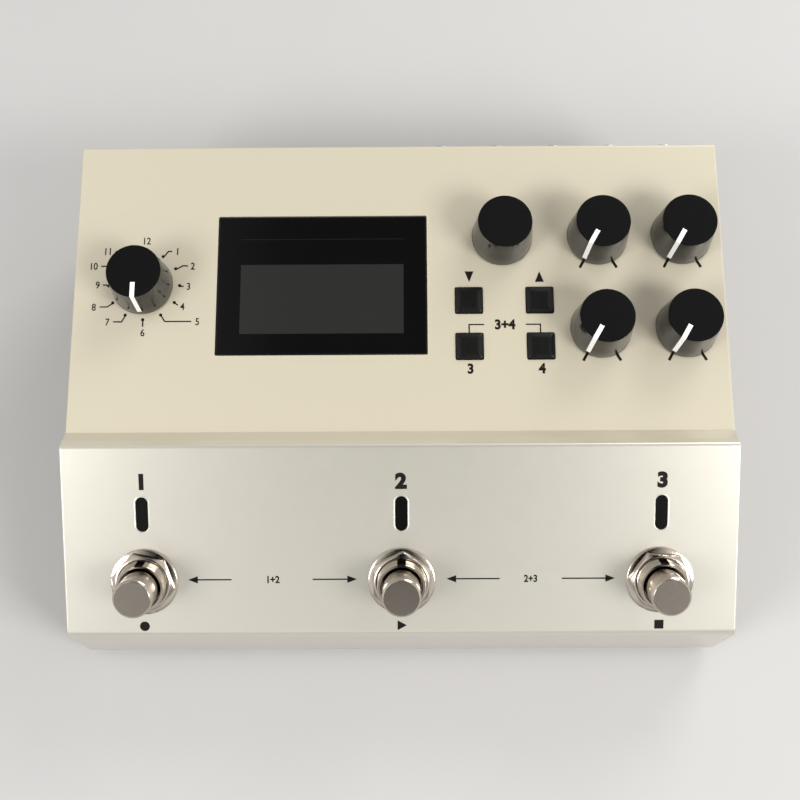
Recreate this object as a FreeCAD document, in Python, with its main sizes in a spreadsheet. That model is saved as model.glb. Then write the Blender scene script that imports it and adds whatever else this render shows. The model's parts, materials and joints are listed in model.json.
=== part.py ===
import FreeCAD, Part
import math
import os

import Sketcher

Vector = FreeCAD.Vector
Rotation = FreeCAD.Rotation
Placement = FreeCAD.Placement

# Driving dimensions of a floor pedal with footswitches, knobs and a display, in millimetres and degrees.
# X runs to the player's right, Y to the rear where the sockets are, and Z up from the floor.
# "Down" is a distance along a panel from its upper edge towards the player.
SIZES = {
    # Outline of the cast case, seen from the side
    "case_width": 170.0,
    "foot_height": 4.0,
    "rear_edge_y": 58.0,
    "rear_edge_z": 51.8,
    "upper_slope": 4.33,
    "upper_length": 77.8,
    "ridge_step_run": 3.1,
    "ridge_step_rise": 3.27,
    "ridge_top_run": 1.83,
    "ridge_top_rise": 1.52,
    "lower_slope": 26.5,
    "lower_length": 49.1,
    "front_lean": 1.27,
    "side_draft": 0.85,
    "case_wall": 2.0,
    "side_edge_radius": 0.5,
    "rear_edge_radius": 0.8,
    "crest_edge_radius": 1.2,
    "front_edge_radius": 2.4,
    # Bottom plate, its screws and the feet
    "plate_thickness": 1.2,
    "plate_gap": 0.3,
    "post_radius": 4.0,
    "post_side_inset": 5.6,
    "post_front_inset": 8.0,
    "post_ridge_inset": 3.0,
    "post_middle_x": 32.5,
    "rear_boss_x": 60.0,
    "rear_boss_width": 7.0,
    "rear_boss_depth": 8.0,
    "screw_radius": 1.5,
    "screw_length": 9.0,
    "screw_head_radius": 2.8,
    "screw_head_height": 1.5,
    "screw_play": 0.2,
    "foot_radius": 7.5,
    "foot_edge": 0.8,
    "foot_side_inset": 18.0,
    "foot_end_inset": 18.0,
    # Battery bay, with four AA cells lying across the pedal
    "cell_radius": 7.1,
    "cell_length": 49.2,
    "cell_nub_radius": 2.7,
    "cell_nub_length": 1.3,
    "cell_pitch": 15.0,
    "cell_gap": 0.3,
    "contact_thickness": 0.5,
    "contact_width": 9.0,
    "dome_radius": 4.2,
    "dome_height": 3.6,
    "tray_wall": 1.2,
    "bay_middle_y": -5.0,
    "cover_thickness": 1.2,
    "cover_overlap": 3.0,
    "cover_grip_width": 24.0,
    "cover_travel": 8.0,
    "rail_width": 3.0,
    "rail_thickness": 1.0,
    "rail_play": 0.2,
    # Circuit boards
    "board_thickness": 1.6,
    "panel_board_depth": 10.0,
    "panel_board_top": 16.0,
    "panel_board_bottom": 70.0,
    "panel_board_side_gap": 4.0,
    "board_boss_radius": 2.6,
    "board_boss_inset": 3.2,
    "panel_boss_middle_x": 14.0,
    "led_board_depth": 9.0,
    "led_board_end": 5.35,
    "led_board_height": 9.0,
    "main_board_z": 24.0,
    "main_board_side_gap": 15.0,
    "main_board_front": -33.0,
    "main_board_rear": 21.0,
    "standoff_radius": 3.0,
    "standoff_inset": 5.0,
    "jack_board_z": 18.3,
    "jack_board_depth": 27.0,
    "jack_board_side_gap": 3.5,
    "chip_height": 1.6,
    "chip_size": 10.0,
    "chip_pitch": 14.0,
    "plug_width": 24.0,
    "plug_depth": 5.0,
    # Display
    "window_left_gap": 19.15,
    "window_right_gap": 10.7,
    "window_down": 38.9,
    "window_height": 37.9,
    "window_corner": 0.4,
    "window_thickness": 1.0,
    "window_sink": 0.2,
    "window_ledge": 1.6,
    "window_play": 0.15,
    "lcd_view_side_gap": 6.15,
    "lcd_view_height": 25.6,
    "lcd_margin": 2.4,
    "lcd_glass_thickness": 2.0,
    "lcd_frame_wall": 0.8,
    "lcd_face_depth": 3.4,
    # Knobs and the controls under them
    "knob_side_inset": 11.5,
    "knob_column_pitch": 21.8,
    "knob_row_rear": 26.2,
    "knob_row_front": 51.2,
    "value_knob_pitch": 24.8,
    "mode_knob_side_inset": 18.55,
    "mode_knob_down": 38.9,
    "knob_top_radius": 6.85,
    "knob_base_radius": 7.95,
    "knob_height": 11.7,
    "knob_lift": 0.6,
    "knob_edge": 0.25,
    "knob_hollow_radius": 6.7,
    "knob_hollow_top": 4.2,
    "knob_bore_top": 10.3,
    "pointer_width": 1.15,
    "pointer_depth": 0.3,
    "pointer_start": 3.0,
    "pointer_foot": 2.4,
    "pointer_minimum": 30.0,
    "shaft_radius": 3.0,
    "shaft_flat": 2.2,
    "shaft_play": 0.05,
    "shaft_bottom": 8.4,
    "bush_radius": 3.5,
    "bush_top": 2.8,
    "bush_play": 0.15,
    "control_nut_flats": 10.0,
    "control_nut_height": 2.0,
    "pot_width": 9.8,
    "pot_depth": 11.0,
    "pot_height": 5.2,
    "encoder_width": 12.0,
    "mode_switch_width": 15.0,
    # Push buttons
    "button_column_pitch": 18.25,
    "button_knob_pitch": 15.45,
    "button_row_rear": 43.4,
    "button_row_front": 55.7,
    "button_size": 6.9,
    "button_corner": 0.5,
    "button_rise": 0.8,
    "button_play": 0.2,
    "button_flange": 9.2,
    "button_flange_height": 0.8,
    "button_stem": 3.0,
    "button_stem_bottom": 5.4,
    "button_travel": 0.3,
    "tact_size": 6.0,
    "tact_height": 3.5,
    "tact_plunger_radius": 1.7,
    # Indicator lights
    "lens_down": 17.35,
    "lens_width": 3.1,
    "lens_height": 8.9,
    "lens_play": 0.1,
    "lens_sink": 0.15,
    "lens_flange": 0.8,
    "lens_flange_overhang": 0.8,
    "lens_bottom": 7.7,
    "led_chip_height": 1.1,
    # Footswitches
    "stomp_middle_x": 0.35,
    "stomp_side_inset": 20.35,
    "stomp_down": 34.6,
    "stomp_bush_radius": 6.1,
    "stomp_bush_top": 6.2,
    "stomp_bush_bore": 5.15,
    "stomp_bush_play": 0.15,
    "stomp_washer_radius": 8.4,
    "stomp_washer_height": 0.8,
    "stomp_nut_flats": 14.0,
    "stomp_nut_height": 1.9,
    "stomp_nut_turn_left": 48.0,
    "stomp_nut_turn_middle": 27.0,
    "stomp_nut_turn_right": 55.0,
    "stomp_body_width": 16.8,
    "stomp_body_height": 15.5,
    "stomp_body_wall": 1.5,
    "stomp_notch_width": 1.9,
    "stomp_notch_depth": 0.6,
    "plunger_radius": 4.8,
    "plunger_top": 14.4,
    "plunger_edge": 0.35,
    "plunger_collar_radius": 5.8,
    "plunger_collar_height": 1.8,
    "plunger_travel": 3.0,
    "plunger_stem_radius": 2.5,
    "spring_radius": 4.2,
    "spring_wire": 0.35,
    "spring_turns": 5.0,
    # Rear sockets
    "jack_side_inset": 9.8,
    "jack_nut_gap": 0.89,
    "jack_body_gap": 1.3,
    "jack_body_height": 13.2,
    "jack_body_length": 26.0,
    "jack_bush_radius": 5.5,
    "jack_bush_length": 11.0,
    "jack_bore_radius": 3.2,
    "jack_bore_depth": 32.0,
    "jack_nut_flats": 13.0,
    "jack_nut_height": 2.5,
    "socket_play": 0.2,
    "socket_wall_gap": 0.5,
    "midi_body_width": 18.4,
    "midi_body_height": 19.0,
    "midi_body_length": 12.0,
    "midi_face_radius": 7.6,
    "midi_groove_outer": 6.8,
    "midi_groove_inner": 5.9,
    "midi_groove_depth": 8.0,
    "midi_pin_circle": 3.75,
    "midi_pin_radius": 0.85,
    "midi_pin_step": 45.0,
    "usb_width": 12.0,
    "usb_height": 11.0,
    "usb_length": 16.0,
    "usb_hole_width": 8.7,
    "usb_hole_height": 8.0,
    "usb_hole_depth": 9.0,
    "usb_tongue_width": 5.6,
    "usb_tongue_height": 3.2,
    "dc_width": 9.0,
    "dc_height": 11.0,
    "dc_length": 13.0,
    "dc_face_radius": 4.0,
    "dc_hole_radius": 2.9,
    "dc_hole_depth": 9.5,
    "dc_pin_radius": 1.0,
    "power_body_size": 10.0,
    "power_body_length": 12.0,
    "power_button_size": 6.4,
    "power_button_rise": 4.5,
    "power_button_play": 0.3,
    "power_button_inside": 3.0,
    "power_travel": 3.0,
}

doc = FreeCAD.newDocument("delay_pedal")
sheet = doc.addObject("Spreadsheet::Sheet", "sizes")
for row, (alias, amount) in enumerate(SIZES.items(), start=1):
    sheet.set(f"A{row}", alias)
    sheet.set(f"B{row}", str(amount))
    sheet.setAlias(f"B{row}", alias)
doc.recompute()


class Size:
    """A number together with the sheet formula that it follows."""

    def __init__(self, number, formula):
        self.number = float(number)
        self.formula = formula

    def __add__(self, other):
        other = as_size(other)
        return Size(self.number + other.number, f"({self.formula} + {other.formula})")

    def __sub__(self, other):
        other = as_size(other)
        return Size(self.number - other.number, f"({self.formula} - {other.formula})")

    def __mul__(self, other):
        other = as_size(other)
        return Size(self.number * other.number, f"({self.formula} * {other.formula})")

    def __truediv__(self, other):
        other = as_size(other)
        return Size(self.number / other.number, f"({self.formula} / {other.formula})")

    def __neg__(self):
        return Size(-self.number, f"(0 - {self.formula})")

    def __radd__(self, other):
        return as_size(other) + self

    def __rsub__(self, other):
        return as_size(other) - self

    def __rmul__(self, other):
        return as_size(other) * self


def as_size(value):
    """Take a Size as it is, and give a plain number its own formula."""
    return value if isinstance(value, Size) else Size(value, f"({value})")


def sine(angle):
    angle = as_size(angle)
    return Size(math.sin(math.radians(angle.number)), f"sin({angle.formula})")


def cosine(angle):
    angle = as_size(angle)
    return Size(math.cos(math.radians(angle.number)), f"cos({angle.formula})")


def tangent(angle):
    angle = as_size(angle)
    return Size(math.tan(math.radians(angle.number)), f"tan({angle.formula})")


class SheetSizes:
    """Every driving dimension of the sheet, under its own name."""

    def __getattr__(self, alias):
        return Size(sheet.get(alias), f"sizes.{alias}")


s = SheetSizes()


class Frame:
    """A flat face: x runs along it to the right, y up along it and z out of it."""

    def __init__(self, origin, tilt=None):
        self.origin = origin
        self.tilt = tilt

    def at(self, x, y, z):
        """The place in the pedal's own frame of a point given on this face."""
        ox, oy, oz = self.origin
        if self.tilt is None:
            return ox + x, oy + y, oz + z
        rise, run = sine(self.tilt), cosine(self.tilt)
        return ox + x, oy + y * run - z * rise, oz + y * rise + z * run


# Corners of the side outline, from the rear edge to the foot of the front
valley_y = s.rear_edge_y - s.upper_length * cosine(s.upper_slope)
valley_z = s.rear_edge_z - s.upper_length * sine(s.upper_slope)
step_y = valley_y - s.ridge_step_run
step_z = valley_z + s.ridge_step_rise
crest_y = step_y - s.ridge_top_run
crest_z = step_z + s.ridge_top_rise
front_edge_y = crest_y - s.lower_length * cosine(s.lower_slope)
front_edge_z = crest_z - s.lower_length * sine(s.lower_slope)
front_foot_y = front_edge_y - (front_edge_z - s.foot_height) * tangent(s.front_lean)
plate_top = s.foot_height + s.plate_thickness
rear_inside_y = s.rear_edge_y - s.case_wall

# Columns of the two panels, each set off from the side wall or from its neighbour
knob_column_outer = s.case_width / 2 - s.knob_side_inset
knob_column_inner = knob_column_outer - s.knob_column_pitch
value_knob_x = knob_column_inner - s.value_knob_pitch
mode_knob_x = s.mode_knob_side_inset - s.case_width / 2
button_column_right = knob_column_inner - s.button_knob_pitch
button_column_left = button_column_right - s.button_column_pitch
window_left = mode_knob_x + s.window_left_gap
window_right = button_column_left - s.window_right_gap
window_x = (window_left + window_right) / 2
window_width = window_right - window_left
lcd_view_width = window_width - 2 * s.lcd_view_side_gap
stomp_pitch = s.case_width / 2 - s.stomp_side_inset

# Boards, each as wide as the case or its lights allow
panel_board_width = s.case_width - 2 * s.panel_board_side_gap
main_board_width = s.case_width - 2 * s.main_board_side_gap
jack_board_width = s.case_width - 2 * s.jack_board_side_gap
led_board_width = 2 * (stomp_pitch + s.led_board_end)

LEVEL = Frame((as_size(0), as_size(0), as_size(0)))
UPPER = Frame((as_size(0), s.rear_edge_y, s.rear_edge_z), s.upper_slope)
LOWER = Frame((as_size(0), crest_y, crest_z), s.lower_slope)
REAR = Frame((as_size(0), s.rear_edge_y, as_size(0)), as_size(-90))

nodes = []


def keep(thing, name):
    """Label a finished sub-part and list it for writing."""
    thing.Label = name
    nodes.append(thing)
    return thing


def bind(thing, **sizes):
    """Tie properties of an object to their formulas."""
    for name, size in sizes.items():
        thing.setExpression(name, as_size(size).formula)


def put(thing, frame, x, y, z, turn=None):
    """Stand an object on a frame, or turn it by an axis and angle of its own on the level one."""
    if turn is not None:
        thing.Placement = Placement(Vector(0, 0, 0), Rotation(*turn))
    elif frame.tilt is not None:
        thing.Placement = Placement(Vector(0, 0, 0), Rotation(Vector(1, 0, 0), frame.tilt.number))
        thing.setExpression("Placement.Rotation.Angle", frame.tilt.formula)
    for axis, size in zip("xyz", frame.at(x, y, z)):
        thing.setExpression(f"Placement.Base.{axis}", size.formula)
    return thing


# Solids from simple blocks and turned pieces
def block(name, frame, x, y, z, width, depth, height):
    """A box centred on x and y, standing on z."""
    thing = doc.addObject("Part::Box", name)
    bind(thing, Length=width, Width=depth, Height=height)
    return put(thing, frame, x - as_size(width) / 2, y - as_size(depth) / 2, z)


def cylinder(name, frame, x, y, z, radius, height, turn=None):
    """A cylinder that starts at z and rises out of the frame, unless it is turned."""
    thing = doc.addObject("Part::Cylinder", name)
    bind(thing, Radius=radius, Height=height)
    return put(thing, frame, x, y, z, turn)


def cone(name, frame, x, y, z, lower, upper, height, turn=None):
    """A cone from its lower radius to its upper radius."""
    thing = doc.addObject("Part::Cone", name)
    bind(thing, Radius1=lower, Radius2=upper, Height=height)
    return put(thing, frame, x, y, z, turn)


def hexagon(name, frame, x, y, z, flats, height, turn=None):
    """A six-sided prism, given its width across flats; turn swings its corners about its own axis."""
    thing = doc.addObject("Part::Prism", name)
    thing.Polygon = 6
    bind(thing, Circumradius=flats / 2 / cosine(30), Height=height)
    if turn is None:
        return put(thing, frame, x, y, z)
    thing.Placement = Placement(Vector(0, 0, 0), Rotation(Vector(0, 0, 1), turn.number))
    thing.setExpression("Placement.Rotation.Angle", turn.formula)
    holder = doc.addObject("Part::Compound", f"{name}_turned")
    holder.Links = [thing]
    return put(holder, frame, x, y, z)


def cut(name, base, *tools):
    """A solid with one or more others taken out of it."""
    thing = doc.addObject("Part::Cut", name)
    thing.Base = base
    thing.Tool = tools[0] if len(tools) == 1 else fuse(f"{name}_tools", *tools)
    return thing


def fuse(name, *pieces):
    """Several overlapping solids as one."""
    thing = doc.addObject("Part::MultiFuse", name)
    thing.Shapes = list(pieces)
    return thing


def group(name, pieces):
    """Alike pieces that stay separate solids of one sub-part."""
    thing = doc.addObject("Part::Compound", name)
    thing.Links = list(pieces)
    return keep(thing, name)


def hex_nut(name, frame, x, y, z, flats, height, hole, turn=None):
    """A plain hexagon nut standing on z."""
    blank = hexagon(f"{name}_blank", frame, x, y, z, flats, height, turn)
    thread = cylinder(f"{name}_thread", frame, x, y, z, hole, height)
    return cut(name, blank, thread)


def flat_washer(name, frame, x, y, z, radius, height, hole):
    """A flat ring standing on z."""
    blank = cylinder(f"{name}_blank", frame, x, y, z, radius, height)
    bore = cylinder(f"{name}_bore", frame, x, y, z, hole, height)
    return cut(name, blank, bore)


# Bodies from sketches
def new_body(name):
    return keep(doc.addObject("PartDesign::Body", name), name)


def new_sketch(body, name, plane="XY_Plane", frame=LEVEL, lift=0, turn=None):
    """A sketch on one of the body's own planes, lifted off it, and laid on a frame or turned upright."""
    sketch = body.newObject("Sketcher::SketchObject", name)
    support = [item for item in body.Origin.OriginFeatures if item.Role == plane][0]
    sketch.AttachmentSupport = [(support, "")]
    sketch.MapMode = "FlatFace"
    if plane != "XY_Plane":
        if turn is not None:
            sketch.AttachmentOffset = Placement(Vector(0, 0, 0), Rotation(Vector(0, 1, 0), turn.number))
            sketch.setExpression("AttachmentOffset.Rotation.Angle", turn.formula)
        sketch.setExpression("AttachmentOffset.Base.z", as_size(lift).formula)
        return sketch
    if frame.tilt is not None:
        sketch.AttachmentOffset = Placement(Vector(0, 0, 0), Rotation(Vector(1, 0, 0), frame.tilt.number))
        sketch.setExpression("AttachmentOffset.Rotation.Angle", frame.tilt.formula)
    for axis, size in zip("xyz", frame.at(0, 0, lift)):
        sketch.setExpression(f"AttachmentOffset.Base.{axis}", size.formula)
    return sketch


def fix(sketch, kind, geometry, point, size):
    """Hold a point of a sketch at a distance from the origin along x or y."""
    size = as_size(size)
    index = sketch.addConstraint(Sketcher.Constraint(kind, -1, 1, geometry, point, size.number))
    sketch.setExpression(f"Constraints[{index}]", size.formula)


def fix_radius(sketch, geometry, size):
    size = as_size(size)
    index = sketch.addConstraint(Sketcher.Constraint("Radius", geometry, size.number))
    sketch.setExpression(f"Constraints[{index}]", size.formula)


def outline(sketch, corners):
    """A closed outline of straight lines through the given corners."""
    corners = [(as_size(x), as_size(y)) for x, y in corners]
    first = sketch.GeometryCount
    total = len(corners)
    for index, (x, y) in enumerate(corners):
        next_x, next_y = corners[(index + 1) % total]
        start = Vector(x.number, y.number, 0)
        end = Vector(next_x.number, next_y.number, 0)
        sketch.addGeometry(Part.LineSegment(start, end), False)
    for index in range(total):
        following = first + (index + 1) % total
        sketch.addConstraint(Sketcher.Constraint("Coincident", first + index, 2, following, 1))
    for index, (x, y) in enumerate(corners):
        fix(sketch, "DistanceX", first + index, 1, x)
        fix(sketch, "DistanceY", first + index, 1, y)


def rectangle(sketch, x, y, width, height):
    """A rectangle centred on x and y."""
    left, right = x - as_size(width) / 2, x + as_size(width) / 2
    low, high = y - as_size(height) / 2, y + as_size(height) / 2
    outline(sketch, [(left, low), (right, low), (right, high), (left, high)])


def circle(sketch, x, y, radius):
    x, y, radius = as_size(x), as_size(y), as_size(radius)
    ring = Part.Circle(Vector(x.number, y.number, 0), Vector(0, 0, 1), radius.number)
    index = sketch.addGeometry(ring, False)
    fix(sketch, "DistanceX", index, 3, x)
    fix(sketch, "DistanceY", index, 3, y)
    fix_radius(sketch, index, radius)


def slot(sketch, x, y, width, height):
    """An upright slot with round ends, centred on x and y."""
    x, y, radius = as_size(x), as_size(y), as_size(width) / 2
    reach = as_size(height) / 2 - radius
    middle, up, bend = Vector(x.number, y.number, 0), Vector(0, reach.number, 0), radius.number
    side = Vector(bend, 0, 0)
    axis = Vector(0, 0, 1)
    top = sketch.addGeometry(Part.ArcOfCircle(Part.Circle(middle + up, axis, bend), 0, math.pi), False)
    low = sketch.addGeometry(
        Part.ArcOfCircle(Part.Circle(middle - up, axis, bend), math.pi, 2 * math.pi), False)
    left = sketch.addGeometry(Part.LineSegment(middle + up - side, middle - up - side), False)
    right = sketch.addGeometry(Part.LineSegment(middle - up + side, middle + up + side), False)
    for line, start_arc, end_arc in ((left, top, low), (right, low, top)):
        sketch.addConstraint(Sketcher.Constraint("Tangent", start_arc, 2, line, 1))
        sketch.addConstraint(Sketcher.Constraint("Tangent", line, 2, end_arc, 1))
    for arc, height in ((top, y + reach), (low, y - reach)):
        fix(sketch, "DistanceX", arc, 3, x)
        fix(sketch, "DistanceY", arc, 3, height)
        fix_radius(sketch, arc, radius)


def rounded_rectangle(sketch, x, y, width, height, radius):
    """A rectangle centred on x and y with round corners."""
    x, y, radius = as_size(x), as_size(y), as_size(radius)
    half_width, half_height = as_size(width) / 2, as_size(height) / 2
    left, right = x - half_width, x + half_width
    low, high = y - half_height, y + half_height
    bend = radius.number
    axis = Vector(0, 0, 1)
    centres = [(right - radius, low + radius), (right - radius, high - radius),
               (left + radius, high - radius), (left + radius, low + radius)]
    arcs = []
    for index, (centre_x, centre_y) in enumerate(centres):
        start = (index - 1) * math.pi / 2
        ring = Part.Circle(Vector(centre_x.number, centre_y.number, 0), axis, bend)
        arcs.append(sketch.addGeometry(Part.ArcOfCircle(ring, start, start + math.pi / 2), False))
    for index, arc in enumerate(arcs):
        following = arcs[(index + 1) % 4]
        line = sketch.addGeometry(Part.LineSegment(
            sketch.Geometry[arc].EndPoint, sketch.Geometry[following].StartPoint), False)
        sketch.addConstraint(Sketcher.Constraint("Tangent", arc, 2, line, 1))
        sketch.addConstraint(Sketcher.Constraint("Tangent", line, 2, following, 1))
    for arc, (centre_x, centre_y) in zip(arcs, centres):
        fix(sketch, "DistanceX", arc, 3, centre_x)
        fix(sketch, "DistanceY", arc, 3, centre_y)
        fix_radius(sketch, arc, radius)


def d_shape(sketch, radius, flat):
    """A circle about the origin with one flat above it."""
    radius, flat = as_size(radius), as_size(flat)
    angle = math.asin(flat.number / radius.number)
    ring = Part.Circle(Vector(0, 0, 0), Vector(0, 0, 1), radius.number)
    arc = sketch.addGeometry(Part.ArcOfCircle(ring, math.pi - angle, 2 * math.pi + angle), False)
    curve = sketch.Geometry[arc]
    line = sketch.addGeometry(Part.LineSegment(curve.EndPoint, curve.StartPoint), False)
    sketch.addConstraint(Sketcher.Constraint("Coincident", arc, 2, line, 1))
    sketch.addConstraint(Sketcher.Constraint("Coincident", line, 2, arc, 1))
    sketch.addConstraint(Sketcher.Constraint("Coincident", arc, 3, -1, 1))
    sketch.addConstraint(Sketcher.Constraint("Horizontal", line))
    fix(sketch, "DistanceY", line, 1, flat)
    fix_radius(sketch, arc, radius)


def pad(body, sketch, length, middle=False):
    """Add material out of the sketch, or to both sides of it."""
    feature = body.newObject("PartDesign::Pad", f"{sketch.Name}_pad")
    feature.Profile = sketch
    feature.Midplane = middle
    bind(feature, Length=length)
    body.Tip = feature
    doc.recompute()
    return feature


def pad_to_ceiling(body, sketch):
    """Add material from the sketch up to the first face above it."""
    feature = body.newObject("PartDesign::Pad", f"{sketch.Name}_pad")
    feature.Profile = sketch
    feature.Type = "UpToFirst"
    body.Tip = feature
    doc.recompute()
    return feature


def pocket(body, sketch, depth):
    """Cut to the same depth on both sides of a sketch, and make sure that it takes something away."""
    before = body.Shape.Volume
    feature = body.newObject("PartDesign::Pocket", f"{sketch.Name}_pocket")
    feature.Profile = sketch
    feature.Midplane = True
    bind(feature, Length=2 * as_size(depth))
    body.Tip = feature
    doc.recompute()
    if body.Shape.Volume >= before:
        raise RuntimeError(f"{feature.Name} cuts nothing")
    return feature


def revolve(body, sketch):
    """Turn a profile drawn on the XZ plane once round the upright axis."""
    feature = body.newObject("PartDesign::Revolution", f"{sketch.Name}_turned")
    feature.Profile = sketch
    feature.ReferenceAxis = (sketch, ["V_Axis"])
    feature.Angle = 360.0
    body.Tip = feature
    doc.recompute()
    return feature


def edges_where(feature, test):
    """Names of the edges of a feature whose end points all pass a test."""
    names = []
    for index, edge in enumerate(feature.Shape.Edges, start=1):
        if all(test(vertex.Point) for vertex in edge.Vertexes):
            names.append(f"Edge{index}")
    return names


def fillet(body, name, base, edges, radius):
    feature = body.newObject("PartDesign::Fillet", name)
    feature.Base = (base, edges)
    bind(feature, Radius=radius)
    body.Tip = feature
    doc.recompute()
    return feature


NEAR = 0.01


def near(number, size):
    return abs(number - as_size(size).number) < NEAR


# Places of the screws that hold the bottom plate
post_x = s.case_width / 2 - s.post_side_inset
front_post_y = front_foot_y + s.post_front_inset
ridge_post_y = valley_y + s.post_ridge_inset
rear_screw_y = rear_inside_y - s.rear_boss_depth / 2
FRONT_POSTS = [-post_x, -s.post_middle_x, s.post_middle_x, post_x]
RIDGE_POSTS = [-post_x, post_x]
REAR_BOSSES = [-s.rear_boss_x, as_size(0), s.rear_boss_x]
PLATE_SCREWS = ([(x, front_post_y) for x in FRONT_POSTS] + [(x, ridge_post_y) for x in RIDGE_POSTS]
                + [(x, rear_screw_y) for x in REAR_BOSSES])

# Places of the bosses that carry the panel board and the light board, as x and distance down the panel
boss_x = panel_board_width / 2 - s.board_boss_inset
boss_rear = s.panel_board_top + s.board_boss_inset
boss_front = s.panel_board_bottom - s.board_boss_inset
PANEL_BOSSES = [(-boss_x, boss_rear), (-boss_x, boss_front), (s.panel_boss_middle_x, boss_front),
                ((value_knob_x + knob_column_inner) / 2, boss_rear), (boss_x, boss_front)]
LIGHT_BOSSES = [(s.stomp_middle_x - stomp_pitch / 2, s.lens_down),
                (s.stomp_middle_x + stomp_pitch / 2, s.lens_down)]

# Controls of the two panels, each with its x and, on the upper panel, its distance down
POTS = [
    ("feedback", knob_column_inner, s.knob_row_rear),
    ("effect_level", knob_column_outer, s.knob_row_rear),
    ("tone", knob_column_inner, s.knob_row_front),
    ("mod_depth", knob_column_outer, s.knob_row_front),
]
BUTTONS = [
    ("down", button_column_left, s.button_row_rear),
    ("up", button_column_right, s.button_row_rear),
    ("exit", button_column_left, s.button_row_front),
    ("edit", button_column_right, s.button_row_front),
]
STOMPS = [
    ("left", s.stomp_middle_x - stomp_pitch),
    ("middle", s.stomp_middle_x),
    ("right", s.stomp_middle_x + stomp_pitch),
]
JACKS = ["input_a", "input_b", "output_a", "output_b", "control"]

# Rear sockets: the phone sockets a nut apart from the right, the others evenly in what is left
jack_x = s.case_width / 2 - s.jack_side_inset
jack_pitch = s.jack_nut_flats / cosine(30) + s.jack_nut_gap
jack_body_width = jack_pitch - s.jack_body_gap
jack_row_end = jack_x - jack_pitch * (len(JACKS) - 1) - jack_body_width / 2
inside_left = s.case_wall + s.socket_wall_gap - s.case_width / 2
other_sockets = [s.midi_body_width, s.midi_body_width, s.usb_width, s.dc_width, s.power_body_size]
socket_gap = (jack_row_end - inside_left - sum(other_sockets)) / (len(other_sockets) + 1)
midi_in_x = jack_row_end - socket_gap - s.midi_body_width / 2
midi_out_x = midi_in_x - s.midi_body_width - socket_gap
usb_x = midi_out_x - (s.midi_body_width + s.usb_width) / 2 - socket_gap
dc_x = usb_x - (s.usb_width + s.dc_width) / 2 - socket_gap
power_x = dc_x - (s.dc_width + s.power_body_size) / 2 - socket_gap

jack_board_top = s.jack_board_z + s.board_thickness
jack_z = jack_board_top + s.jack_body_height / 2
midi_z = jack_board_top + s.midi_body_height / 2
usb_z = jack_board_top + s.usb_height / 2
dc_z = jack_board_top + s.dc_height / 2
power_z = jack_board_top + s.power_body_size / 2


def jack_x_at(index):
    return jack_x - jack_pitch * index


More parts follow.
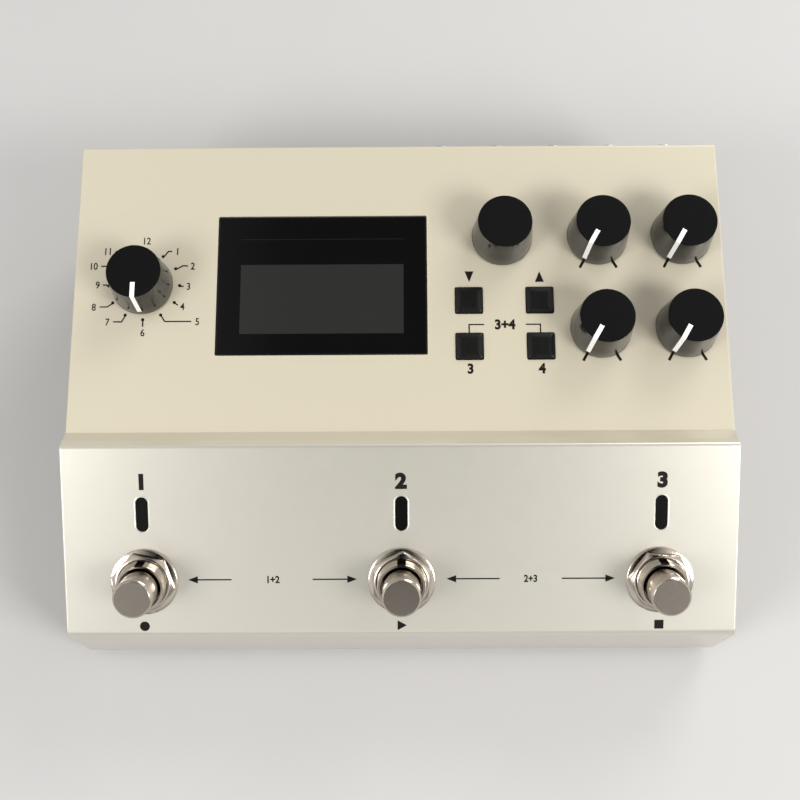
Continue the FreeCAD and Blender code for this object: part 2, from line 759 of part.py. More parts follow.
def make_case():
    """The painted casting: two sloping panels with a ridge between them, four walls, posts and bosses."""
    body = new_body("case_top")
    side = new_sketch(body, "case_side", plane="YZ_Plane")
    outline(side, [
        (front_foot_y, s.foot_height), (s.rear_edge_y, s.foot_height), (s.rear_edge_y, s.rear_edge_z),
        (valley_y, valley_z), (step_y, step_z), (crest_y, crest_z), (front_edge_y, front_edge_z)])
    solid = pad(body, side, s.case_width, middle=True)

    # Draft of the side walls
    draft = new_sketch(body, "case_draft", plane="XZ_Plane")
    half = s.case_width / 2
    top = crest_z + s.case_wall
    lean = (top - s.foot_height) * tangent(s.side_draft)
    for sign in (-1, 1):
        outline(draft, [(half * sign, s.foot_height), ((half + lean) * sign, s.foot_height),
                        ((half + lean) * sign, top), ((half - lean) * sign, top)])
    solid = pocket(body, draft, s.case_width)

    # Hollow, open below
    below = [f"Face{index}" for index, face in enumerate(solid.Shape.Faces, start=1)
             if all(near(vertex.Point.z, s.foot_height) for vertex in face.Vertexes)]
    shell = body.newObject("PartDesign::Thickness", "case_shell")
    shell.Base = (solid, below)
    shell.Join = 1
    shell.Reversed = True
    bind(shell, Value=s.case_wall)
    body.Tip = shell
    doc.recompute()

    # Rounded outer edges: along the rear, the crest and the front, then round both sides
    rear = edges_where(shell, lambda p: near(p.y, s.rear_edge_y) and near(p.z, s.rear_edge_z))
    rounded = fillet(body, "case_rear_edge", shell, rear, s.rear_edge_radius)
    crest = edges_where(rounded, lambda p: near(p.y, crest_y) and near(p.z, crest_z))
    rounded = fillet(body, "case_crest_edge", rounded, crest, s.crest_edge_radius)
    front = edges_where(rounded, lambda p: near(p.y, front_edge_y) and near(p.z, front_edge_z))
    rounded = fillet(body, "case_front_edge", rounded, front, s.front_edge_radius)

    def on_side_wall(point):
        reach = half.number - (point.z - s.foot_height.number) * math.tan(math.radians(s.side_draft.number))
        return abs(abs(point.x) - reach) < NEAR and not near(point.z, s.foot_height)

    def upright_or_top(feature):
        names = []
        for index, edge in enumerate(feature.Shape.Edges, start=1):
            middle = edge.valueAt((edge.FirstParameter + edge.LastParameter) / 2)
            if on_side_wall(middle):
                names.append(f"Edge{index}")
        return names

    rounded = fillet(body, "case_side_edges", rounded, upright_or_top(rounded), s.side_edge_radius)

    # Posts under the lower panel and the ridge, and bosses inside the rear wall
    posts = new_sketch(body, "case_front_posts", lift=plate_top)
    for x in FRONT_POSTS:
        circle(posts, x, front_post_y, s.post_radius)
    pad_to_ceiling(body, posts)
    posts = new_sketch(body, "case_ridge_posts", lift=plate_top)
    for x in RIDGE_POSTS:
        circle(posts, x, ridge_post_y, s.post_radius)
    pad_to_ceiling(body, posts)
    bosses = new_sketch(body, "case_rear_bosses", lift=plate_top)
    reach = s.rear_boss_depth + s.case_wall / 2
    for x in REAR_BOSSES:
        rectangle(bosses, x, rear_inside_y + s.case_wall / 2 - reach / 2, s.rear_boss_width, reach)
    pad(body, bosses, s.jack_board_z - plate_top)
    pilots = new_sketch(body, "case_pilots", lift=plate_top)
    for x, y in PLATE_SCREWS:
        circle(pilots, x, y, s.screw_radius)
    pocket(body, pilots, s.screw_length)

    # Bosses for the two boards that hang under the panels
    for name, frame, depth, places in (("panel", UPPER, s.panel_board_depth, PANEL_BOSSES),
                                       ("light", LOWER, s.led_board_depth, LIGHT_BOSSES)):
        bosses = new_sketch(body, f"case_{name}_bosses", frame=frame, lift=-depth)
        for x, down in places:
            circle(bosses, x, -down, s.board_boss_radius)
        pad(body, bosses, depth - s.case_wall / 2)
        pilots = new_sketch(body, f"case_{name}_pilots", frame=frame, lift=-depth)
        for x, down in places:
            circle(pilots, x, -down, s.screw_radius - s.screw_play)
        pocket(body, pilots, depth - s.case_wall - s.screw_play)

    # Openings of the upper panel
    sunk = new_sketch(body, "case_window_seat", frame=UPPER)
    rounded_rectangle(sunk, window_x, -s.window_down, window_width, s.window_height, s.window_corner)
    pocket(body, sunk, s.window_thickness + s.window_sink)
    through = new_sketch(body, "case_window", frame=UPPER)
    rectangle(through, window_x, -s.window_down, window_width - 2 * s.window_ledge,
              s.window_height - 2 * s.window_ledge)
    pocket(body, through, 2 * s.case_wall)
    holes = new_sketch(body, "case_control_holes", frame=UPPER)
    for name, x, down in POTS:
        circle(holes, x, -down, s.bush_radius + s.bush_play)
    circle(holes, value_knob_x, -s.knob_row_rear, s.bush_radius + s.bush_play)
    circle(holes, mode_knob_x, -s.mode_knob_down, s.bush_radius + s.bush_play)
    pocket(body, holes, 2 * s.case_wall)
    holes = new_sketch(body, "case_button_holes", frame=UPPER)
    opening = s.button_size + 2 * s.button_play
    for name, x, down in BUTTONS:
        rounded_rectangle(holes, x, -down, opening, opening, s.button_corner)
    pocket(body, holes, 2 * s.case_wall)

    # Openings of the lower panel
    holes = new_sketch(body, "case_light_slots", frame=LOWER)
    for name, x in STOMPS:
        slot(holes, x, -s.lens_down, s.lens_width, s.lens_height)
    pocket(body, holes, 2 * s.case_wall)
    holes = new_sketch(body, "case_stomp_holes", frame=LOWER)
    for name, x in STOMPS:
        circle(holes, x, -s.stomp_down, s.stomp_bush_radius + s.stomp_bush_play)
    pocket(body, holes, 2 * s.case_wall)

    # Openings of the rear wall, where the sketch's y runs down
    holes = new_sketch(body, "case_socket_holes", frame=REAR)
    for index in range(len(JACKS)):
        circle(holes, jack_x_at(index), -jack_z, s.jack_bush_radius + s.socket_play)
    for x in (midi_in_x, midi_out_x):
        circle(holes, x, -midi_z, s.midi_face_radius + s.socket_play)
    circle(holes, dc_x, -dc_z, s.dc_face_radius + s.socket_play)
    rectangle(holes, usb_x, -usb_z, s.usb_width + 2 * s.socket_play, s.usb_height + 2 * s.socket_play)
    opening = s.power_button_size + 2 * s.power_button_play
    rectangle(holes, power_x, -power_z, opening, opening)
    pocket(body, holes, 2 * s.case_wall)


# Battery bay: the opening in the plate, and the space for four cells between their contacts
bay_length = s.cell_length + s.cell_nub_length + s.dome_height + 2 * s.contact_thickness
bay_depth = 4 * s.cell_pitch
cell_z = s.foot_height + s.cell_gap + s.cell_radius
bay_height = cell_z + s.cell_radius + s.cell_gap - plate_top
cover_width = bay_length + 2 * s.cover_overlap
cover_depth = bay_depth + 2 * s.cover_overlap


def make_bottom_plate():
    """The pressed steel plate that closes the case, with the battery opening and the cover's guides."""
    body = new_body("bottom_plate")
    front = (front_foot_y + s.plate_thickness * tangent(s.front_lean) + s.case_wall / cosine(s.front_lean)
             + s.plate_gap)
    rear = rear_inside_y - s.plate_gap
    lean = s.plate_thickness * tangent(s.side_draft)
    width = s.case_width - 2 * (s.case_wall / cosine(s.side_draft) + lean + s.plate_gap)
    sheet_metal = new_sketch(body, "plate_outline", lift=s.foot_height)
    rectangle(sheet_metal, 0, (front + rear) / 2, width, rear - front)
    pad(body, sheet_metal, s.plate_thickness)
    holes = new_sketch(body, "plate_holes", lift=s.foot_height)
    for x, y in PLATE_SCREWS:
        circle(holes, x, y, s.screw_radius + s.screw_play)
    rectangle(holes, 0, s.bay_middle_y, bay_length, bay_depth)
    pocket(body, holes, 2 * s.plate_thickness)

    # Two guides under the plate, each a lip that the cover's edge slides over for its whole travel
    lip_top = s.foot_height - s.cover_thickness - s.rail_play
    lip_bottom = lip_top - s.rail_thickness
    rails = new_sketch(body, "plate_rails", plane="XZ_Plane", lift=-s.bay_middle_y)
    for sign in (-1, 1):
        inner = (cover_width / 2 - s.rail_width / 2) * sign
        edge = (cover_width / 2 + s.rail_play) * sign
        outer = (cover_width / 2 + s.rail_width) * sign
        outline(rails, [
            (inner, lip_bottom), (outer, lip_bottom), (outer, s.foot_height),
            (edge, s.foot_height), (edge, lip_top), (inner, lip_top)])
    pad(body, rails, cover_depth - 2 * s.cover_travel, middle=True)


def make_battery_cover():
    """The sliding lid over the battery bay, with grip lines for a thumb."""
    body = new_body("battery_cover")
    lid = new_sketch(body, "cover_outline", lift=s.foot_height - s.cover_thickness)
    rectangle(lid, 0, s.bay_middle_y, cover_width, cover_depth)
    pad(body, lid, s.cover_thickness)
    grip = new_sketch(body, "cover_grip", lift=s.foot_height - s.cover_thickness)
    for index in range(5):
        y = s.bay_middle_y - cover_depth / 2 + s.cover_overlap + 2 * s.cover_thickness * index
        rectangle(grip, 0, y, s.cover_grip_width, s.cover_thickness)
    pocket(body, grip, s.cover_thickness / 3)


def make_plate_screws():
    pieces = []
    for index, (x, y) in enumerate(PLATE_SCREWS):
        head = cylinder(f"plate_screw_head_{index}", LEVEL, x, y, s.foot_height - s.screw_head_height,
                        s.screw_head_radius, s.screw_head_height)
        stem = cylinder(f"plate_screw_stem_{index}", LEVEL, x, y, s.foot_height,
                        s.screw_radius, s.screw_length - s.screw_play)
        whole = fuse(f"plate_screw_body_{index}", head, stem)
        slot_depth = s.screw_head_height / 2
        cross = [block(f"plate_screw_cross_{index}_{way}", LEVEL, x, y, s.foot_height - s.screw_head_height,
                       long_x, long_y, slot_depth)
                 for way, long_x, long_y in (("x", s.screw_head_radius, s.screw_radius / 3),
                                             ("y", s.screw_radius / 3, s.screw_head_radius))]
        pieces.append(cut(f"plate_screw_{index}", whole, *cross))
    group("bottom_screws", pieces)


def make_feet():
    """Four round rubber feet with rounded lower edges, stuck to the bottom plate."""
    pieces = []
    reach_x = s.case_width / 2 - s.foot_side_inset
    for index, (x, y) in enumerate([(-reach_x, front_foot_y + s.foot_end_inset),
                                    (reach_x, front_foot_y + s.foot_end_inset),
                                    (-reach_x, s.rear_edge_y - s.foot_end_inset),
                                    (reach_x, s.rear_edge_y - s.foot_end_inset)]):
        tread = cone(f"foot_tread_{index}", LEVEL, x, y, 0, s.foot_radius - s.foot_edge, s.foot_radius,
                     s.foot_edge)
        wall = cylinder(f"foot_wall_{index}", LEVEL, x, y, s.foot_edge, s.foot_radius,
                        s.foot_height - s.foot_edge)
        pieces.append(fuse(f"foot_{index}", tread, wall))
    group("rubber_feet", pieces)


def make_battery_bay():
    """The tray over the opening, its contacts and the four cells, laid head to tail."""
    outer_length = bay_length + 2 * s.tray_wall
    outer_depth = bay_depth + 2 * s.tray_wall
    shell = block("tray_shell", LEVEL, 0, s.bay_middle_y, plate_top, outer_length, outer_depth,
                  bay_height + s.tray_wall)
    space = block("tray_space", LEVEL, 0, s.bay_middle_y, plate_top, bay_length, bay_depth, bay_height)
    keep(cut("tray_cut", shell, space), "battery_tray")

    contacts = []
    cells = []
    wall_x = bay_length / 2
    for index in range(4):
        y = s.bay_middle_y + s.cell_pitch * (index - 1.5)
        way = 1 if index % 2 == 0 else -1
        for end, sign in (("plus", way), ("minus", -way)):
            x = (wall_x - s.contact_thickness / 2) * sign
            plate = block(f"contact_{end}_plate_{index}", LEVEL, x, y, cell_z - s.contact_width / 2,
                          s.contact_thickness, s.contact_width, s.contact_width)
            if end == "plus":
                contacts.append(plate)
                continue
            turn = (Vector(0, 1, 0), -90 * sign)
            start = (wall_x - s.contact_thickness) * sign
            dome = cone(f"contact_dome_{index}", LEVEL, start, y, cell_z, s.dome_radius,
                        s.dome_radius / 2, s.dome_height, turn)
            contacts.append(fuse(f"contact_minus_{index}", plate, dome))
        start = (-wall_x + s.contact_thickness + s.dome_height) * way
        turn = (Vector(0, 1, 0), 90 * way)
        can = cylinder(f"cell_can_{index}", LEVEL, start, y, cell_z, s.cell_radius, s.cell_length, turn)
        nub = cylinder(f"cell_nub_{index}", LEVEL, start + s.cell_length * way, y, cell_z,
                       s.cell_nub_radius, s.cell_nub_length, turn)
        cells.append(fuse(f"cell_{index}", can, nub))
    group("battery_contacts", contacts)
    group("battery_cells", cells)


def make_boards():
    """Panel board, light board, main board and jack board, each with what is soldered to it."""
    middle_down = (s.panel_board_top + s.panel_board_bottom) / 2
    height = s.panel_board_bottom - s.panel_board_top
    under = -s.panel_board_depth - s.board_thickness
    panel = block("panel_board_sheet", UPPER, 0, -middle_down, under, panel_board_width, height,
                  s.board_thickness)
    holes = [cylinder(f"panel_board_hole_{index}", UPPER, x, -down, under,
                      s.screw_radius + s.screw_play, s.board_thickness)
             for index, (x, down) in enumerate(PANEL_BOSSES)]
    keep(cut("panel_board_cut", panel, *holes), "panel_board")

    under = -s.led_board_depth - s.board_thickness
    strip = block("light_board_sheet", LOWER, s.stomp_middle_x, -s.lens_down, under, led_board_width,
                  s.led_board_height, s.board_thickness)
    lamps = [block(f"light_chip_{name}", LOWER, x, -s.lens_down, -s.led_board_depth, s.lens_width,
                   s.lens_height / 2, s.led_chip_height) for name, x in STOMPS]
    strip = fuse("light_board_body", strip, *lamps)
    holes = [cylinder(f"light_board_hole_{index}", LOWER, x, -down, under,
                      s.screw_radius + s.screw_play, s.board_thickness)
             for index, (x, down) in enumerate(LIGHT_BOSSES)]
    keep(cut("light_board_cut", strip, *holes), "light_board")

    depth = s.main_board_rear - s.main_board_front
    middle_y = (s.main_board_rear + s.main_board_front) / 2
    sheet_top = s.main_board_z + s.board_thickness
    main = block("main_board_sheet", LEVEL, 0, middle_y, s.main_board_z, main_board_width, depth,
                 s.board_thickness)
    chips = []
    for column, line, times in ((0, 0, 2), (2, 1, 1), (3, -1, 1), (-3, -1, 1), (-2, 1, 1), (4, 0, 1)):
        chips.append(block(f"main_board_chip_{len(chips)}", LEVEL, s.chip_pitch * column,
                           middle_y + s.chip_size * line, sheet_top, s.chip_size * times,
                           s.chip_size * times, s.chip_height))
    plug_y = depth / 2 - s.plug_depth
    plugs = [block(f"main_board_plug_{index}", LEVEL, s.plug_width * column, middle_y + plug_y * line,
                   sheet_top, s.plug_width, s.plug_depth, 2 * s.chip_height)
             for index, (column, line) in enumerate([(-1, 1), (1, 1), (0, -1)])]
    main = fuse("main_board_body", main, *chips, *plugs)
    holes = [cylinder(f"main_board_hole_{index}", LEVEL, x, y, s.main_board_z,
                      s.screw_radius + s.screw_play, s.board_thickness)
             for index, (x, y) in enumerate(standoff_places())]
    keep(cut("main_board_cut", main, *holes), "main_board")

    middle_y = rear_inside_y - s.plate_gap - s.jack_board_depth / 2
    jack = block("jack_board_blank", LEVEL, 0, middle_y, s.jack_board_z, jack_board_width,
                 s.jack_board_depth, s.board_thickness)
    keep(jack, "jack_board")


def standoff_places():
    """The four corners of the main board, set in from its edges."""
    reach_x = main_board_width / 2 - s.standoff_inset
    return [(x, y) for x in (-reach_x, reach_x)
            for y in (s.main_board_front + s.standoff_inset, s.main_board_rear - s.standoff_inset)]


def make_board_fixings():
    """Hexagon standoffs on the plate, and the small screws through the boards."""
    standoffs = []
    screws = []
    for index, (x, y) in enumerate(standoff_places()):
        standoffs.append(hex_nut(f"standoff_{index}", LEVEL, x, y, plate_top, 2 * s.standoff_radius,
                                 s.main_board_z - plate_top, s.screw_radius))
        head = cylinder(f"main_screw_head_{index}", LEVEL, x, y, s.main_board_z + s.board_thickness,
                        s.screw_head_radius, s.screw_head_height)
        stem = cylinder(f"main_screw_stem_{index}", LEVEL, x, y, s.main_board_z - s.screw_length / 2,
                        s.screw_radius - s.screw_play, s.screw_length / 2 + s.board_thickness)
        screws.append(fuse(f"main_screw_{index}", head, stem))
    for name, frame, depth, places in (("panel", UPPER, s.panel_board_depth, PANEL_BOSSES),
                                       ("light", LOWER, s.led_board_depth, LIGHT_BOSSES)):
        for index, (x, down) in enumerate(places):
            under = -depth - s.board_thickness
            head = cylinder(f"{name}_screw_head_{index}", frame, x, -down,
                            under - s.screw_head_height, s.screw_head_radius, s.screw_head_height)
            stem = cylinder(f"{name}_screw_stem_{index}", frame, x, -down, under,
                            s.screw_radius - 2 * s.screw_play, s.screw_length / 2 + s.board_thickness)
            screws.append(fuse(f"{name}_screw_{index}", head, stem))
    group("board_standoffs", standoffs)
    group("board_screws", screws)


def make_display():
    """The black window, and behind it the display glass in its pressed frame."""
    body = new_body("display_window")
    pane = new_sketch(body, "window_outline", frame=UPPER, lift=-s.window_thickness - s.window_sink)
    rounded_rectangle(pane, window_x, -s.window_down, window_width - 2 * s.window_play,
                      s.window_height - 2 * s.window_play, s.window_corner - s.window_play)
    pad(body, pane, s.window_thickness)

    glass_width = lcd_view_width + 2 * s.lcd_margin
    glass_height = s.lcd_view_height + 2 * s.lcd_margin
    wall = s.lcd_frame_wall
    glass_top = -s.lcd_face_depth - wall
    x, y = window_x, -s.window_down
    glass = block("display_glass_pane", UPPER, x, y, glass_top - s.lcd_glass_thickness, glass_width,
                  glass_height, s.lcd_glass_thickness)
    keep(glass, "display_glass")
    shell = block("display_frame_shell", UPPER, x, y, -s.panel_board_depth, glass_width + 2 * wall,
                  glass_height + 2 * wall, s.panel_board_depth - s.lcd_face_depth)
    space = block("display_frame_space", UPPER, x, y, glass_top - s.lcd_glass_thickness, glass_width,
                  glass_height, s.lcd_glass_thickness)
    view = block("display_frame_view", UPPER, x, y, glass_top, lcd_view_width, s.lcd_view_height, wall)
    keep(cut("display_frame_cut", shell, space, view), "display_frame")


def control_body(name, label, x, down, width, depth):
    """The soldered part of a rotary control: a case on the board and a bush through the panel."""
    floor = -s.panel_board_depth
    case = block(f"{name}_case", UPPER, x, -down, floor, width, depth, s.pot_height)
    bush = cylinder(f"{name}_bush", UPPER, x, -down, floor + s.pot_height, s.bush_radius,
                    s.bush_top - floor - s.pot_height)
    bore_depth = s.shaft_bottom + s.shaft_play
    bore = cylinder(f"{name}_bore", UPPER, x, -down, -bore_depth, s.shaft_radius + s.shaft_play,
                    s.bush_top + bore_depth)
    thing = cut(f"{name}_body", fuse(f"{name}_solid", case, bush), bore)
    return keep(thing, label) if label else thing


def make_controls():
    """Four pots, the value encoder and the mode switch, with their nuts."""
    pots = [control_body(f"pot_{name}", None, x, down, s.pot_width, s.pot_depth) for name, x, down in POTS]
    group("potentiometers", pots)
    control_body("encoder", "value_encoder", value_knob_x, s.knob_row_rear, s.encoder_width,
                 s.encoder_width)
    control_body("selector", "mode_switch", mode_knob_x, s.mode_knob_down, s.mode_switch_width,
                 s.mode_switch_width)
    places = [(x, down) for name, x, down in POTS]
    places += [(value_knob_x, s.knob_row_rear), (mode_knob_x, s.mode_knob_down)]
    group("control_nuts", [hex_nut(f"control_nut_{index}", UPPER, x, -down, as_size(0), s.control_nut_flats,
                                   s.control_nut_height, s.bush_radius)
                           for index, (x, down) in enumerate(places)])


def make_knob(name, x, down, pointer):
    """A tapered knob on a flatted shaft; pointer is the angle of its groove past straight down."""
    body = new_body(f"{name}_knob")
    side = new_sketch(body, f"{name}_knob_side", plane="XZ_Plane")
    edge = s.knob_edge
    slope = (s.knob_base_radius - s.knob_top_radius) / (s.knob_height - s.knob_lift)
    outline(side, [
        (0, s.knob_hollow_top), (s.knob_hollow_radius, s.knob_hollow_top),
        (s.knob_hollow_radius, s.knob_lift), (s.knob_base_radius, s.knob_lift),
        (s.knob_top_radius + slope * edge, s.knob_height - edge),
        (s.knob_top_radius - edge, s.knob_height), (0, s.knob_height)])
    revolve(body, side)
    bore = new_sketch(body, f"{name}_knob_bore", lift=s.knob_hollow_top)
    d_shape(bore, s.shaft_radius + s.shaft_play, s.shaft_flat + s.shaft_play)
    pocket(body, bore, s.knob_bore_top - s.knob_hollow_top)
    if pointer is not None:
        groove = new_sketch(body, f"{name}_knob_groove", plane="YZ_Plane", turn=-pointer)
        foot_radius = s.knob_base_radius - slope * (s.pointer_foot - s.knob_lift)
        floor = s.knob_height - s.pointer_depth
        outline(groove, [
            (-s.pointer_start, s.knob_height + edge), (-s.pointer_start, floor),
            (s.pointer_depth - s.knob_top_radius, floor), (s.pointer_depth - foot_radius, s.pointer_foot),
            (-foot_radius - edge, s.pointer_foot), (-s.knob_top_radius - 2 * edge, s.knob_height + edge)])
        pocket(body, groove, s.pointer_width / 2)
    put(body, UPPER, x, -down, 0)

    shaft = new_body(f"{name}_shaft")
    rod = new_sketch(shaft, f"{name}_rod", lift=-s.shaft_bottom)
    circle(rod, 0, 0, s.shaft_radius)
    pad(shaft, rod, s.shaft_bottom + s.bush_top + s.shaft_play)
    end = new_sketch(shaft, f"{name}_rod_end", lift=s.bush_top)
    d_shape(end, s.shaft_radius, s.shaft_flat)
    pad(shaft, end, s.knob_bore_top - s.bush_top - s.shaft_play)
    put(shaft, UPPER, x, -down, 0)


def make_buttons():
    """Four square caps with flanges under the panel, and a tactile switch below each."""
    switches = []
    for name, x, down in BUTTONS:
        body = new_body(f"{name}_button")
        cap = new_sketch(body, f"{name}_button_cap", lift=-s.case_wall - s.button_flange_height)
        rounded_rectangle(cap, 0, 0, s.button_size, s.button_size, s.button_corner)
        solid = pad(body, cap, s.case_wall + s.button_flange_height + s.button_rise)
        top = edges_where(solid, lambda p: near(p.z, s.button_rise))
        fillet(body, f"{name}_button_edge", solid, top, s.button_corner)
        flange = new_sketch(body, f"{name}_button_flange", lift=-s.case_wall - s.button_flange_height)
        rectangle(flange, 0, 0, s.button_flange, s.button_flange)
        pad(body, flange, s.button_flange_height)
        stem = new_sketch(body, f"{name}_button_stem", lift=-s.button_stem_bottom)
        rectangle(stem, 0, 0, s.button_stem, s.button_stem)
        pad(body, stem, s.button_stem_bottom - s.case_wall)
        put(body, UPPER, x, -down, 0)

        floor = -s.panel_board_depth
        case = block(f"tact_case_{name}", UPPER, x, -down, floor, s.tact_size, s.tact_size, s.tact_height)
        reach = s.panel_board_depth - s.button_stem_bottom - s.button_travel - s.shaft_play
        nub = cylinder(f"tact_nub_{name}", UPPER, x, -down, floor, s.tact_plunger_radius, reach)
        switches.append(fuse(f"tact_{name}", case, nub))
    group("tact_switches", switches)


def make_lenses():
    """Three smoked light pipes in the slots of the lower panel."""
    pieces = []
    for name, x in STOMPS:
        body = doc.addObject("PartDesign::Body", f"lens_{name}")
        bar = new_sketch(body, f"lens_{name}_bar", lift=-s.lens_bottom)
        slot(bar, 0, 0, s.lens_width - 2 * s.lens_play, s.lens_height - 2 * s.lens_play)
        pad(body, bar, s.lens_bottom - s.lens_sink)
        rim = new_sketch(body, f"lens_{name}_rim", lift=-s.case_wall - s.lens_flange)
        slot(rim, 0, 0, s.lens_width + 2 * s.lens_flange_overhang,
             s.lens_height + 2 * s.lens_flange_overhang)
        pad(body, rim, s.lens_flange)
        pieces.append(put(body, LOWER, x, -s.lens_down, 0))
    group("light_lenses", pieces)


def make_footswitches():
    """Three momentary footswitches: body with threaded bush, plunger, spring, washer and nut."""
    washers = []
    nuts = []
    springs = []
    top_inside = s.case_wall + s.stomp_body_wall
    floor_inside = s.case_wall + s.stomp_body_height - s.stomp_body_wall
    for name, x in STOMPS:
        y = -s.stomp_down
        can = block(f"stomp_{name}_can", LOWER, x, y, -s.case_wall - s.stomp_body_height,
                    s.stomp_body_width, s.stomp_body_width, s.stomp_body_height)
        bush = cylinder(f"stomp_{name}_bush", LOWER, x, y, -s.case_wall, s.stomp_bush_radius,
                        s.case_wall + s.stomp_bush_top)
        bore = cylinder(f"stomp_{name}_bore", LOWER, x, y, -floor_inside, s.stomp_bush_bore,
                        floor_inside + s.stomp_bush_top)
        hollow = cylinder(f"stomp_{name}_hollow", LOWER, x, y, -floor_inside,
                          s.plunger_collar_radius + s.stomp_bush_bore - s.plunger_radius,
                          floor_inside - top_inside)
        notch_y = y + s.stomp_bush_radius - s.stomp_notch_depth / 2
        notch = block(f"stomp_{name}_notch", LOWER, x, notch_y, s.stomp_washer_height + s.stomp_nut_height,
                      s.stomp_notch_width, s.stomp_notch_depth, s.stomp_bush_top)
        whole = fuse(f"stomp_{name}_solid", can, bush)
        keep(cut(f"stomp_{name}_cut", whole, bore, hollow, notch), f"footswitch_{name}")

        body = new_body(f"plunger_{name}")
        side = new_sketch(body, f"plunger_{name}_side", plane="XZ_Plane")
        collar_top = -top_inside
        collar_bottom = collar_top - s.plunger_collar_height
        stem_bottom = s.plunger_travel + s.button_play - floor_inside
        outline(side, [
            (0, stem_bottom), (s.plunger_stem_radius, stem_bottom), (s.plunger_stem_radius, collar_bottom),
            (s.plunger_collar_radius, collar_bottom), (s.plunger_collar_radius, collar_top),
            (s.plunger_radius, collar_top), (s.plunger_radius, s.plunger_top - s.plunger_edge),
            (s.plunger_radius - s.plunger_edge, s.plunger_top), (0, s.plunger_top)])
        revolve(body, side)
        put(body, LOWER, x, y, 0)

        washers.append(flat_washer(f"stomp_washer_{name}", LOWER, x, y, as_size(0), s.stomp_washer_radius,
                                   s.stomp_washer_height, s.stomp_bush_radius))
        nuts.append(hex_nut(f"stomp_nut_{name}", LOWER, x, y, s.stomp_washer_height, s.stomp_nut_flats,
                            s.stomp_nut_height, s.stomp_bush_radius, getattr(s, f"stomp_nut_turn_{name}")))
        room = floor_inside - top_inside - s.plunger_collar_height
        springs.append(make_spring(name, x, y, -floor_inside, room))
    group("footswitch_washers", washers)
    group("footswitch_nuts", nuts)
    group("footswitch_springs", springs)


def arc_through(start, heading, end):
    """The arc that leaves its start along a heading and reaches its end."""
    chord = end - start
    side = heading - chord * (heading.dot(chord) / chord.dot(chord))
    side.normalize()
    rise = math.tan(heading.getAngle(chord) / 2) * chord.Length / 2
    return Part.Arc(start, (start + end) / 2 + side * rise, end).toShape()


def coil_path(radius, rise, turns):
    """A helix about the upright axis as pairs of tangent arcs, one pair for each half turn."""
    climb = rise / (2 * math.pi * turns)

    def place(angle):
        point = Vector(radius * math.cos(angle), radius * math.sin(angle), climb * angle)
        heading = Vector(-radius * math.sin(angle), radius * math.cos(angle), climb)
        return point, heading.normalize()

    edges = []
    for step in range(round(2 * turns)):
        start, leave = place(step * math.pi)
        end, arrive = place((step + 1) * math.pi)
        span = end - start
        along = span.dot(leave + arrive)
        bend = 2 * (1 - leave.dot(arrive))
        reach = (math.sqrt(along * along + bend * span.dot(span)) - along) / bend
        joint = (start + end + (leave - arrive) * reach) / 2
        edges.append(arc_through(start, leave, joint))
        edges.append(arc_through(joint, (end - arrive * reach - joint).normalize(), end))
    return Part.Wire(edges)


def make_spring(name, x, y, floor, height):
    """A return spring as a coil of wire that stands on the floor of the switch and meets the collar."""
    radius, wire, turns = s.spring_radius.number, s.spring_wire.number, s.spring_turns.number
    rise = height.number - 2 * wire
    path = coil_path(radius, rise, turns)
    section = Part.Circle(Vector(radius, 0, 0), Vector(0, 2 * math.pi * turns * radius, rise), wire)
    coil = path.makePipeShell([Part.Wire([section.toShape()])], True, False)
    expected = math.pi * wire ** 2 * path.Length
    print(f"spring {name}: {coil.Volume:.2f} mm3, wire section times length {expected:.2f} mm3, "
          f"gap between turns {rise / turns - 2 * wire:.2f} mm")
    spring = doc.addObject("Part::Feature", f"spring_{name}")
    spring.Shape = coil
    return put(spring, LOWER, x, y, floor + s.spring_wire)


def make_jacks():
    """Five 6.3 mm sockets in a row on the jack board, each held to the rear wall by its nut."""
    nuts = []
    depth = s.jack_body_length
    for index, name in enumerate(JACKS):
        x = jack_x_at(index)
        case = block(f"jack_{name}_case", REAR, x, -jack_z, -s.case_wall - depth, jack_body_width,
                     s.jack_body_height, depth)
        bush = cylinder(f"jack_{name}_bush", REAR, x, -jack_z, -s.case_wall, s.jack_bush_radius,
                        s.case_wall + s.jack_bush_length)
        bore = cylinder(f"jack_{name}_bore", REAR, x, -jack_z, s.jack_bush_length - s.jack_bore_depth,
                        s.jack_bore_radius, s.jack_bore_depth)
        keep(cut(f"jack_{name}_cut", fuse(f"jack_{name}_solid", case, bush), bore), f"jack_{name}")
        nuts.append(hex_nut(f"jack_nut_{name}", REAR, x, -jack_z, as_size(0), s.jack_nut_flats,
                            s.jack_nut_height, s.jack_bush_radius))
    group("jack_nuts", nuts)


def make_midi_socket(name, x):
    """A five-pin round socket: a square case and a round face with a ring groove and five holes."""
    case = block(f"{name}_case", REAR, x, -midi_z, -s.case_wall - s.midi_body_length, s.midi_body_width,
                 s.midi_body_height, s.midi_body_length)
    face = cylinder(f"{name}_face", REAR, x, -midi_z, -s.case_wall, s.midi_face_radius, s.case_wall)
    outer = cylinder(f"{name}_groove_outer", REAR, x, -midi_z, -s.midi_groove_depth, s.midi_groove_outer,
                     s.midi_groove_depth)
    inner = cylinder(f"{name}_groove_inner", REAR, x, -midi_z, -s.midi_groove_depth, s.midi_groove_inner,
                     s.midi_groove_depth)
    groove = cut(f"{name}_groove", outer, inner)
    pins = []
    for index in range(5):
        angle = s.midi_pin_step * index
        pins.append(cylinder(f"{name}_pin_{index}", REAR, x + s.midi_pin_circle * cosine(angle),
                             -midi_z - s.midi_pin_circle * sine(angle), -s.midi_groove_depth,
                             s.midi_pin_radius, s.midi_groove_depth))
    keep(cut(f"{name}_cut", fuse(f"{name}_solid", case, face), groove, *pins), name)


